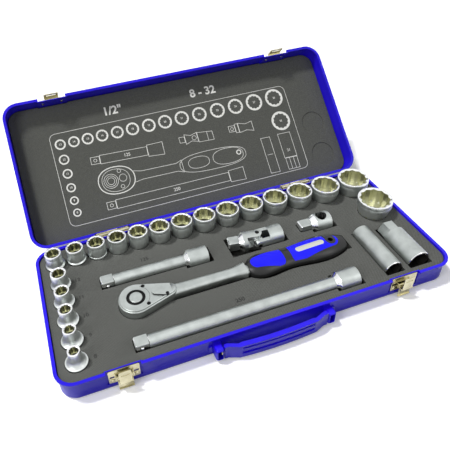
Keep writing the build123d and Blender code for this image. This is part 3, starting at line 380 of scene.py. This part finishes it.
# %% Metals
def blasted_metal(name, dark, light, roughness, grain=BLASTED_GRAIN, depth=0.000012,
                  stretch=(1, 1, 1)):
    """A plated metal over a blasted or brushed surface, whose grain spreads its highlights."""
    material, tree, shader = new_material(name, **{"Metallic": 1.0})
    place = object_place(tree, stretch=stretch)
    fine = add_node(tree, "TexNoise", {"Vector": place, "Scale": grain, "Detail": 2.0}).outputs[0]
    patches = add_node(tree, "TexNoise", {"Vector": place, "Scale": PLATING_PATCHES,
                                          "Detail": 3.0}).outputs[0]
    tree.links.new(shade_between(tree, patches, dark, light, 0.3, 0.7), shader.inputs["Base Color"])
    rough = add_node(tree, "MapRange", {"Value": patches, "To Min": roughness * 0.88,
                                        "To Max": roughness * 1.12}).outputs[0]
    tree.links.new(rough, shader.inputs["Roughness"])
    relief(tree, shader, fine, depth)
    return material


# %% Plastics and inks
def moulded_plastic(name, dark, light, roughness, depth=0.00001, coat=0.0, shine=0.5):
    """An injection-moulded plastic with the faint cloudiness of its pigment."""
    material, tree, shader = new_material(name, **{
        "Roughness": roughness, "Specular IOR Level": shine, "Coat Weight": coat,
        "Coat Roughness": 0.15})
    place = object_place(tree)
    clouds = add_node(tree, "TexNoise", {"Vector": place, "Scale": PIGMENT_CLOUDS, "Detail": 2.0})
    tree.links.new(shade_between(tree, clouds.outputs[0], dark, light, 0.3, 0.7),
                   shader.inputs["Base Color"])
    skin = add_node(tree, "TexNoise", {"Vector": place, "Scale": MOULDED_GRAIN, "Detail": 1.0})
    relief(tree, shader, skin.outputs[0], depth)
    return material


enamel = stoved_blue_enamel()
lid_turn = math.radians(138.0)
tray_foam_finish = embossed_foam("embossed_eva_foam_tray", 0.0, "#454643", "#626360")
lid_foam_finish = embossed_foam("embossed_eva_foam_lid", lid_turn, "#434440", "#5F605B")
pocket_foam_and_painted_shade = cut_foam()
satin_chrome = blasted_metal("pearl_chrome_plate", "#B2B7B4", "#C6CBC8", 0.42)
# A lighter copy of the pearl chrome, painted brighter on the sockets as highlight.
socket_chrome_painted_highlight = blasted_metal("pearl_chrome_sockets_painted_highlight", "#D6DAD7", "#E8ECE9", 0.40)
# Polished chrome with a lower roughness, coloured near-white as painted highlight on rims, cones,
# ends and balls.
polished_chrome_and_highlight = blasted_metal("polished_chrome_painted_highlight", "#F0F2F2", "#FAFAFA", 0.18, depth=0.000003)
flute_nickel = blasted_metal("broached_nickel_flutes", "#CACAB0", "#E4E4CC", 0.34,
                             grain=BROACHED_GRAIN, stretch=(1, 1, 0.08))
latch_nickel = blasted_metal("nickel_plated_pressing", "#B9B290", "#D6D0B2", 0.24)
# Near-black steel for the pawl, and painted shade where it stands for gaps, holes and dark
# reflections.
black_steel_and_shade = blasted_metal("black_steel_and_painted_shade", "#202020", "#303030", 0.40)
plate_steel = blasted_metal("brushed_name_plate", "#D6D6CC", "#E6E6DC", 0.40, stretch=(0.1, 1, 1))
handle_plastic = moulded_plastic("glossy_blue_abs", "#200CCB", "#2610DE", 0.3, coat=0.1, shine=0.3)
# The bores are coloured dark as painted shade inside the holes.
bore_shade_finish = blasted_metal("painted_bore_shade", "#4C4A44", "#5E5C55", 0.42)
pad_rubber = moulded_plastic("soft_blue_tpr", "#1512E0", "#1E1CF0", 0.42, shine=0.3)
grip_plastic = moulded_plastic("black_polypropylene", "#0C0C0C", "#161616", 0.30)
ring_rubber = moulded_plastic("black_nitrile_rubber", "#0E0E0E", "#1A1A1A", 0.6)
white_ink = moulded_plastic("white_screen_ink", "#D2D2CC", "#E2E2DC", 0.6)
black_ink = moulded_plastic("black_screen_ink", "#1B1B1A", "#262624", 0.7)
print("finishes", len(bpy.data.materials))

# %% [markdown]
# ## Case
# The tray and the lid are pressed from 1 mm sheet, so every edge is softly rounded. The foam was
# hot-rolled before it was die-cut: its skin carries the lattice and its pocket walls do not, which
# a face's direction tells apart.

# %% Pressed pans, hinges and rivets
dressed("base_tray", "tray_pressing", [enamel], 0.35 * MM)
dressed("lid_shell", "lid_pressing", [enamel], 0.35 * MM)
for node in ("hinge_base_leaves", "hinge_lid_leaves", "hinge_pins", "latch_plates", "latch_pins",
             "lid_keepers", "latch_lever_left", "latch_lever_right", "latch_claw_left",
             "latch_claw_right", "base_rivets", "lid_rivets", "handle_pins"):
    dressed(node, node + "_plated", [latch_nickel], 0.12 * MM)
dressed("handle_brackets", "bracket_mouldings", [handle_plastic], 0.3 * MM)
dressed("carry_handle", "handle_moulding", [handle_plastic], 0.45 * MM, segments=3)
print("case pieces dressed")

# %% Foam inserts
lid_hinge = next(joint for joint in frame["joints"] if joint["name"] == "lid_hinge")
hinge_point = Vector(lid_hinge["pos_m"])
open_angle = math.radians(-lid_hinge["range_deg"][0])
lid_swing = (Matrix.Translation(hinge_point) @ Matrix.Rotation(-open_angle, 4, "X")
             @ Matrix.Translation(-hinge_point))
lid_normal = lid_swing.to_3x3() @ Vector((0, 0, -1))


def skin_or_cut(normal):
    """Picks the embossed skin where a face looks out of the case, and elsewhere the cut foam with
    its painted pocket shade.
    """
    return lambda face: 0 if face.normal.dot(normal) > 0.95 else 1


foam_skin_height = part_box("base_foam")[1].z


def tray_zone(face):
    # Faces other than the top skin get the cut foam, whose darker colour is painted pocket shade.
    on_top = face.calc_center_median().z > foam_skin_height - 0.1 * MM
    return 0 if on_top and face.normal.z > 0.95 else 1


tray_foam = dressed("base_foam", "tray_foam_insert", [tray_foam_finish, pocket_foam_and_painted_shade],
                    0.5 * MM, tray_zone)
lid_foam = dressed("lid_foam", "lid_foam_insert", [lid_foam_finish, pocket_foam_and_painted_shade],
                   0.5 * MM, skin_or_cut(lid_normal))
print("foam skin at", round(foam_skin_height / MM, 2), "mm")

# %% [markdown]
# ## Sockets
# A socket is turned on a lathe and its twelve points are broached. Here one loop of points is
# extruded again and again, up the outside, over the rim and down the inside, and after each step
# its points are moved in or out to a circle, a twelve-pointed star or a square. The mouth is
# polished after plating and coloured near-white as painted highlight, the side keeps its pearl
# finish in a lighter copy painted as highlight, and the broached flutes show warm nickel.

# %% Shapes of a loop
LOOP_POINTS = 72


def circle(size, angle):
    return size


def star(size, angle):
    """Two hexagons, one turned by 30 degrees; size is half the distance across flats."""
    away = abs((math.degrees(angle) + 15) % 30 - 15)
    return size / math.cos(math.radians(30 - away))


def square(size, angle):
    """Size is half the side."""
    away = (math.degrees(angle) + 45) % 90 - 45
    return size / math.cos(math.radians(away))


def loop_stack(bm, stations):
    """Extrudes one loop from station to station; a station is shape, size, height and finish."""
    first = bmesh.ops.create_circle(bm, segments=LOOP_POINTS, radius=1.0)["verts"]
    edges = list({edge for vert in first for edge in vert.link_edges})
    stations = stations + stations[:1]
    move_loop(first, *stations[0][:3])
    for (*_, finish), (shape, size, height, _) in zip(stations, stations[1:]):
        grown = bmesh.ops.extrude_edge_only(bm, edges=edges)["geom"]
        verts = [part for part in grown if isinstance(part, bmesh.types.BMVert)]
        move_loop(verts, shape, size, height)
        for part in grown:
            if isinstance(part, bmesh.types.BMFace):
                part.material_index = finish
        edges = [part for part in grown if isinstance(part, bmesh.types.BMEdge)
                 and all(vert in verts for vert in part.verts)]
    bmesh.ops.remove_doubles(bm, verts=bm.verts, dist=1e-7)
    bmesh.ops.recalc_face_normals(bm, faces=bm.faces)


def move_loop(verts, shape, size, height):
    for vert in verts:
        angle = math.atan2(vert.co.y, vert.co.x)
        radius = shape(size, angle)
        vert.co = (radius * math.cos(angle), radius * math.sin(angle), height)


# %% Socket outline
DRIVE_SQUARE = 12.94 * MM
DRIVE_DEPTH = 15.0 * MM
RIM_EASE = 0.7 * MM
SIDE, RIM, FLUTES = 0, 1, 2


def mouth_radius(size):
    """Half the outside diameter that a nut of this size needs round it."""
    return (size / math.cos(math.radians(30)) / 2 + 1.6 + 0.022 * size) * MM


def side_stations(mouth, foot, length):
    """Radius and height up the side: a bell on small sockets, a taper on large ones."""
    top = 20.0 * MM
    if mouth < foot:
        ledge = foot - 0.3 * (foot - mouth)
        neck = top + 1.8 * (foot - mouth)
        bell = [(foot, top), (ledge, top + 0.6 * MM)]
        for step in range(1, 8):
            share = step / 8
            radius = mouth + (ledge - mouth) * (1 - share) ** 2.4
            bell.append((radius, top + 0.6 * MM + (neck - top - 0.6 * MM) * share))
        return bell + [(mouth, neck)]
    shoulder = top + 3.0 * (mouth - foot) + 2.0 * MM
    return [(foot, top), (mouth, min(shoulder, length - 4 * MM))]


def socket(size):
    """Makes one socket in place of its CAD node."""
    node = f"socket_{size}"
    low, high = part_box(node)
    length = high.z - low.z
    mouth = mouth_radius(size)
    drive_end = (22.5 + 0.65 * max(0, size - 16)) * MM / 2
    half_flats = size / 2 * MM
    tips = half_flats / math.cos(math.radians(30))
    bore_floor = length - (6.0 + 0.45 * size) * MM
    relief_radius = min(size / 2 - 0.4, 0.62 * 12.7) * MM
    stations = [(circle, drive_end - RIM_EASE, 0, SIDE), (circle, drive_end, RIM_EASE, SIDE)]
    stations += [(circle, radius, z, SIDE) for radius, z in side_stations(mouth, drive_end, length)]
    if size >= 13:
        groove = length - 5.0 * MM
        stations += [(circle, mouth, groove - 0.4 * MM, SIDE),
                     (circle, mouth - 0.12 * MM, groove, SIDE),
                     (circle, mouth, groove + 0.4 * MM, SIDE)]
    stations += [(circle, mouth, length - RIM_EASE, RIM),
                 (circle, mouth - 0.3 * RIM_EASE, length - 0.3 * RIM_EASE, RIM),
                 (circle, mouth - RIM_EASE, length, RIM),
                 (circle, tips + 0.6 * MM, length, RIM),
                 (star, half_flats, length - 0.9 * MM, FLUTES),
                 (star, half_flats, bore_floor, FLUTES),
                 (circle, relief_radius, bore_floor, FLUTES),
                 (circle, relief_radius, DRIVE_DEPTH, FLUTES),
                 (square, DRIVE_SQUARE / 2, DRIVE_DEPTH, FLUTES),
                 (square, DRIVE_SQUARE / 2, 0, SIDE)]
    bm = bmesh.new()
    loop_stack(bm, stations)
    middle = (low + high) / 2
    bmesh.ops.translate(bm, verts=bm.verts, vec=(middle.x, middle.y, low.z))
    piece = new_piece(node + "_turned", bm, node,
                      [socket_chrome_painted_highlight, polished_chrome_and_highlight, flute_nickel], smooth_angle=25.0)
    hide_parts(node)
    return piece


# %% Make the sockets
SOCKET_SIZES = [8, 9, 10, 11, 12, 13, 14, 15, 16, 17, 18, 19, 20, 21, 22, 23, 24, 27, 30, 32]
sockets = [socket(size) for size in SOCKET_SIZES]
print("sockets", len(sockets), "faces each", len(sockets[0].data.polygons))

# %% [markdown]
# ## Bars, adaptor, joint and spark plug sockets
# These are turned, milled and then plated as the sockets are: pearl finish on the round parts and
# a polished one where a face was ground, coloured near-white as painted highlight. Copies of their
# solids with eased edges are enough.

# %% Zones of a tool that lies along X or Y
PLAIN, GROUND_AND_HIGHLIGHT, BORE_SHADE = 0, 1, 2


def lying_zone(axis, middle, inner, balls=()):
    """Polished chrome, painted near-white as highlight, on cones, ends and balls; painted shade in
    the bores, which lie within inner of the axis.
    """
    across = [number for number in range(3) if number != axis]

    def zone(face):
        place = face.calc_center_median()
        away = math.hypot(*[place[k] - middle[k] for k in across])
        if any((place - ball).length < 2.25 * MM for ball in balls):
            return GROUND_AND_HIGHLIGHT
        inward = sum((place[k] - middle[k]) * face.normal[k] for k in across) < -0.1 * away
        if away < inner and (inward or abs(face.normal[axis]) > 0.9):
            return BORE_SHADE
        return GROUND_AND_HIGHLIGHT if 0.2 < abs(face.normal[axis]) else PLAIN

    return zone


def middle_of(node):
    low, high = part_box(node)
    return (low + high) / 2


# %% Bars
turned_finishes = [satin_chrome, polished_chrome_and_highlight, bore_shade_finish]
BALL_FROM_TIP = 7.0 * MM
BALL_DEPTH = (12.7 / 2 + 1.0 - 4.4 / 2) * MM
for node in ("extension_bar_long", "extension_bar_short"):
    middle = middle_of(node)
    ball = Vector((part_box(node)[0].x + BALL_FROM_TIP, middle.y - BALL_DEPTH, middle.z))
    dressed(node, node + "_plated", turned_finishes, 0.3 * MM,
            lying_zone(0, middle, 6.6 * MM, [ball]))

# %% Adaptor, joint and spark plug sockets
dressed("sliding_adaptor", "sliding_adaptor_plated", turned_finishes, 0.3 * MM,
        lying_zone(0, middle_of("sliding_adaptor"), 0.0))
for node in ("joint_drive_yoke", "joint_socket_yoke"):
    dressed(node, node + "_plated", turned_finishes, 0.35 * MM,
            lying_zone(0, middle_of(node), 0.0))
dressed("joint_cross", "joint_cross_plated", [satin_chrome], 0.3 * MM)
# The joint's pins are near-black as painted shade of their recessed ends.
dressed("joint_pins", "joint_pins_painted_shade", [black_steel_and_shade], 0.2 * MM)
for node, inner in (("plug_socket_small", 9.6 * MM), ("plug_socket_large", 12.3 * MM)):
    dressed(node, node + "_plated", turned_finishes, 0.3 * MM,
            lying_zone(1, middle_of(node), inner))
for node in ("plug_ring_small", "plug_ring_large"):
    dressed(node, node + "_moulded", [ring_rubber], 0.2 * MM)

# %% [markdown]
# ## Ratchet
# The head and neck are one forging, pearl plated. The gear is coloured near-black as painted
# shade, so it makes the dark ring of the gap between the cover and the release button. The grip is
# moulded in two shots, hard black and soft blue, with a small steel plate let into the larger pad.

# %% Head and mechanism
dressed("ratchet_body", "ratchet_forging", [satin_chrome], 0.3 * MM)
dressed("ratchet_cover", "ratchet_face_plate", [satin_chrome], 0,
        smooth_angle=20.0)
# The screws and the gear are near-black as painted shade of their holes and of the gap round the
# button.
dressed("ratchet_screws", "ratchet_screws_painted_shade", [black_steel_and_shade], 0.15 * MM)
dressed("ratchet_gear", "ratchet_gear_painted_shade", [black_steel_and_shade], 0.1 * MM)
dressed("ratchet_pawl", "ratchet_pawl_blackened", [black_steel_and_shade], 0)
# Only the lever's top is chrome; its tip and sides are near-black as painted shade and dark
# reflection.
lever_tip = max(frame["nodes"]["ratchet_lever"].data.vertices, key=lambda vert: vert.co.x).co.copy()
dressed("ratchet_lever", "ratchet_lever_chrome_and_shade", [satin_chrome, black_steel_and_shade],
        0.25 * MM, lambda face: 0 if face.normal.z > 0.9
        and lever_tip.x - face.calc_center_median().x > 4 * MM else 1)


SEAM_START, SEAM_SWEEP, SEAM_STEPS = -52, 112, 32
SEAM_RADII = (14.6 * MM, 14.9 * MM)
SEAM_PROUD = 0.02 * MM


def face_plate_seam():
    """A near-black strip that paints the shade of the thin seam round the gear's boss, where the
    face plate was pressed over it.
    """
    low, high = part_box("ratchet_button")
    centre = (low + high) / 2
    plate_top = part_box("ratchet_cover")[1].z
    bm = bmesh.new()
    rings = []
    for step in range(SEAM_STEPS + 1):
        angle = math.radians(SEAM_START + SEAM_SWEEP * step / SEAM_STEPS)
        rings.append([bm.verts.new((centre.x + radius * math.cos(angle),
                                    centre.y + radius * math.sin(angle), plate_top + SEAM_PROUD))
                      for radius in SEAM_RADII])
    for near, far in zip(rings, rings[1:]):
        bm.faces.new((near[0], near[1], far[1], far[0]))
    bmesh.ops.recalc_face_normals(bm, faces=bm.faces)
    new_piece("ratchet_plate_seam_painted_shade", bm, "ratchet", [black_steel_and_shade])


face_plate_seam()
dressed("ratchet_button", "ratchet_button_polished", [satin_chrome], 0.2 * MM)
dressed("ratchet_grip", "ratchet_grip_moulding", [grip_plastic], 0.4 * MM)
dressed("ratchet_pads", "ratchet_pads_moulding", [pad_rubber], 0.4 * MM)
dressed("ratchet_plate", "ratchet_name_plate", [plate_steel, grip_plastic], 0.1 * MM,
        lambda face: 0 if face.normal.z > 0.5 else 1)
print("ratchet dressed")

# %% [markdown]
# ## Prints
# The maker screen-prints the foam: white outlines and sizes in the lid, black sizes in the tray.
# A print is a film with no height to speak of, so it is made as thin flat shapes just proud of
# the foam. All of them are drawn flat, in millimetres along and up the lid, and then laid on it.

# %% Drawing flat shapes
INK_HEIGHT = 0.06 * MM
FIGURE_SHARE = 0.7


def ring(bm, x, y, radius, width, inner=None):
    """A printed ring; inner makes its inside edge another radius at every second point."""
    edges = []
    for size, zigzag in ((radius, None), (radius - width, inner)):
        verts = bmesh.ops.create_circle(bm, segments=24, radius=size)["verts"]
        for number, vert in enumerate(verts):
            if zigzag and number % 2:
                vert.co *= zigzag
        bmesh.ops.translate(bm, verts=verts, vec=(x, y, 0))
        edges += list({edge for vert in verts for edge in vert.link_edges})
    bmesh.ops.bridge_loops(bm, edges=edges)


def outline(bm, points, width):
    """A printed line round a closed shape."""
    face = bm.faces.new([bm.verts.new((x, y, 0)) for x, y in points])
    bmesh.ops.recalc_face_normals(bm, faces=[face])
    bmesh.ops.inset_region(bm, faces=[face], thickness=width, use_even_offset=True,
                            use_boundary=True)
    bmesh.ops.delete(bm, geom=[face], context="FACES")


def stroke(bm, start, end, width):
    """A straight printed line."""
    start, end = Vector((*start, 0)), Vector((*end, 0))
    side = (end - start).normalized().cross(Vector((0, 0, 1))) * width / 2
    bm.faces.new([bm.verts.new(point) for point in
                  (start - side, start + side, end + side, end - side)])


def rounded(x0, y0, x1, y1, radius, steps=6):
    """Points of a rectangle with round corners."""
    points = []
    for cx, cy, start in ((x1 - radius, y1 - radius, 0), (x0 + radius, y1 - radius, 90),
                          (x0 + radius, y0 + radius, 180), (x1 - radius, y0 + radius, 270)):
        for step in range(steps + 1):
            angle = math.radians(start + 90 * step / steps)
            points.append((cx + radius * math.cos(angle), cy + radius * math.sin(angle)))
    return points


def number(bm, text, x, y, height, turn=0.0, thicken=0.0):
    """Plain figures centred on a place; text and curve are made a mesh before they are laid."""
    curve = bpy.data.curves.new("figures", "FONT")
    curve.body = text
    curve.size = height / FIGURE_SHARE
    curve.offset = thicken
    curve.align_x = "CENTER"
    curve.align_y = "CENTER"
    holder = bpy.data.objects.new("figures", curve)
    scene.collection.objects.link(holder)
    bpy.context.view_layer.update()
    mesh = bpy.data.meshes.new_from_object(holder)
    mesh.transform(Matrix.Translation((x, y, 0)) @ Matrix.Rotation(turn, 4, "Z"))
    bm.from_mesh(mesh)
    bpy.data.objects.remove(holder)
    bpy.data.curves.remove(curve)
    bpy.data.meshes.remove(mesh)


def printed(name, bm, lay, body, material):
    """Scales a drawing from millimetres, lays it on its surface and gives it a thickness."""
    bmesh.ops.remove_doubles(bm, verts=bm.verts, dist=0.001)
    bmesh.ops.recalc_face_normals(bm, faces=bm.faces)
    for face in bm.faces:
        if face.normal.z < 0:
            face.normal_flip()
    bmesh.ops.scale(bm, vec=(MM, MM, MM), verts=bm.verts)
    top = bmesh.ops.extrude_face_region(bm, geom=bm.faces[:], use_keep_orig=True)["geom"]
    bmesh.ops.translate(bm, vec=(0, 0, INK_HEIGHT),
                        verts=[part for part in top if isinstance(part, bmesh.types.BMVert)])
    bmesh.ops.recalc_face_normals(bm, faces=bm.faces)
    bmesh.ops.transform(bm, matrix=lay, verts=bm.verts)
    return new_piece(name, bm, body, [material], 20.0)


# %% Lid print
closed_lid = lid_swing.inverted()
lid_foam_face = min((closed_lid @ vert.co).z for vert in frame["nodes"]["lid_foam"].data.vertices)
PRINT_ZERO_Y = 93.5 * MM
lid_plane = (lid_swing @ Matrix.Translation((0, PRINT_ZERO_Y, lid_foam_face))
             @ Matrix.Rotation(math.pi, 4, "X"))
THIN, BOLD = 0.55, 0.75
ring_row = {13: -160, 14: -142.4, 15: -124.3, 16: -105.2, 17: -84.8, 18: -64, 19: -41.5, 20: -18.8,
            21: 5.1, 22: 30.5, 23: 57, 24: 84, 27: 112.3, 30: 143}
ring_column = {12: 107, 11: 88, 10: 69.4, 9: 52.3, 8: 36.6}


def printed_ring(bm, size, x, y):
    radius = 5.2 + 0.36 * (size - 8)
    width = 1.5 + 0.045 * (size - 8)
    ring(bm, x, y, radius, width, 0.94 if size < 13 else 0.88)
    number(bm, str(size), x, y, 2.6, thicken=0.05)


def printed_bar(bm, x0, y0, x1, y1, half):
    """A bar from the side: its square with a ball, its shaft and its thicker end."""
    along = Vector((x1 - x0, y1 - y0)).normalized()
    across = Vector((-along.y, along.x))
    start = Vector((x0, y0))

    def at(distance, offset):
        return tuple(start + along * distance + across * offset)

    length = math.dist((x0, y0), (x1, y1))
    outline(bm, [at(0, -half + 1), at(12, -half + 1), at(12, half - 1), at(0, half - 1)], THIN)
    outline(bm, [at(12, -half), at(length - 22, -half), at(length - 22, half), at(12, half)], THIN)
    outline(bm, [at(length - 22, -half - 2), at(length, -half - 3), at(length, half + 3),
                 at(length - 22, half + 2)], THIN)
    ring(bm, *at(6, 0), 2.3, THIN)


def oval(x0, y0, x1, y1, half, bulge=0.25):
    """Points of a long oval between two ends."""
    middle, along = Vector(((x0 + x1) / 2, (y0 + y1) / 2)), Vector((x1 - x0, y1 - y0)) / 2
    across = Vector((-along.y, along.x)).normalized() * half
    points = []
    for step in range(32):
        angle = 2 * math.pi * step / 32
        c, s = math.cos(angle), math.sin(angle)
        points.append(tuple(middle + along * math.copysign(abs(c) ** (1 - bulge), c)
                            + across * math.copysign(abs(s) ** (1 - bulge), s)))
    return points


def lid_print():
    bm = bmesh.new()
    outline(bm, rounded(-172, 20, 162, 143, 8), THIN)
    for size, x in ring_row.items():
        printed_ring(bm, size, x, 127.5)
    for size, y in ring_column.items():
        printed_ring(bm, size, -160, y)
    printed_ring(bm, 32, 142.5, 93)
    printed_bar(bm, -128, 97, -30.5, 93, 6.0)
    number(bm, "125", -80, 95, 4.2, math.radians(-2.4), 0.06)
    printed_bar(bm, -122, 34.8, 68.5, 34, 6.0)
    number(bm, "250", -28, 34.5, 4.2, 0, 0.06)
    # The universal joint.
    outline(bm, [(-7, 93.6), (1, 93.2), (1, 101.6), (-7, 101.9)], THIN)
    outline(bm, [(1, 90), (10, 93), (19, 90.5), (19, 104), (10, 101.5), (1, 104.5)], THIN)
    outline(bm, [(19, 89.5), (41, 88.5), (41, 101), (19, 103.5)], THIN)
    ring(bm, 14, 97, 3.2, THIN)
    stroke(bm, (33, 89), (33, 102), THIN)
    # The sliding adaptor.
    outline(bm, [(64.6, 93), (74, 92.4), (74, 101.4), (64.6, 101.8)], THIN)
    outline(bm, [(74, 90.3), (79, 90), (79, 103), (74, 103.3)], THIN)
    outline(bm, [(79, 89.4), (90, 91), (100, 88), (100, 102.6), (90, 100.4), (79, 103.6)], THIN)
    ring(bm, 69.5, 97, 2.4, THIN)
    # The ratchet, from its head to its grip.
    outline(bm, oval(-126, 66, -77, 64.6, 18.5, 0.1), BOLD + 0.5)
    outline(bm, oval(-121, 66, -84, 64.8, 15.0, 0.1), THIN)
    for radius in (9.6, 7.2, 4.8):
        ring(bm, -109, 65.5, radius, THIN)
    ring(bm, -93, 66.5, 5.2, THIN)
    ring(bm, -96, 76.5, 2.6, THIN)
    ring(bm, -96, 55.5, 2.6, THIN)
    for side in (-1, 1):
        stroke(bm, (-80, 64.6 + side * 8), (-68, 64 + side * 5.6), THIN)
        stroke(bm, (-68, 64 + side * 5.6), (-20, 63 + side * 5.4), THIN)
        stroke(bm, (-20, 63 + side * 5.4), (-12, 63 + side * 8.4), THIN)
    stroke(bm, (-12, 54.4), (-12, 71.6), THIN)
    outline(bm, oval(-16, 63, 79, 61.5, 13.5, 0.25), THIN)
    outline(bm, oval(-4, 63.2, 26, 62.6, 8.0, 0.15), THIN)
    outline(bm, oval(31, 62.6, 75, 61.8, 11.0, 0.15), THIN)
    ring(bm, 69, 63.5, 3.6, 1.4)
    # The two spark plug sockets.
    outline(bm, [(105, 24), (119, 23.4), (119, 74.6), (105, 75)], THIN)
    stroke(bm, (108, 50), (116, 49.8), THIN)
    outline(bm, [(131, 40), (150, 39.4), (150, 75), (131, 75.4)], THIN)
    outline(bm, [(132, 23.2), (149.4, 22.8), (149.4, 39.4), (132, 39.9)], THIN)
    for x in (137.8, 143.6):
        stroke(bm, (x, 23), (x, 39.6), THIN)
    number(bm, "21", 140.5, 50, 3.6, 0, 0.06)
    # Plain figures: the drive and the range of sizes.
    number(bm, "1/2\"", -84, 158, 11.0, 0, 0.4)
    number(bm, "8 - 32", 44, 158, 11.0, 0, 0.4)
    return printed("lid_print_white", bm, lid_plane, "lid", white_ink)


lid_print()

# %% Tray print
tray_plane = Matrix.Translation((0, 0, foam_skin_height))


def tray_print():
    bm = bmesh.new()
    for size in (8, 9, 10, 11, 12):
        low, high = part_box(f"socket_{size}")
        number(bm, str(size), high.x / MM + 7, (low.y + high.y) / 2 / MM, 4.6, 0, 0.12)
    for node, text, x, y in (("extension_bar_short", "125", -100.5, 38.6),
                             ("extension_bar_long", "250", -21.2, -54.7)):
        number(bm, text, x, y, 4.8, 0, 0.12)
    return printed("tray_print_black", bm, tray_plane, "case", black_ink)


tray_print()
print("prints made")
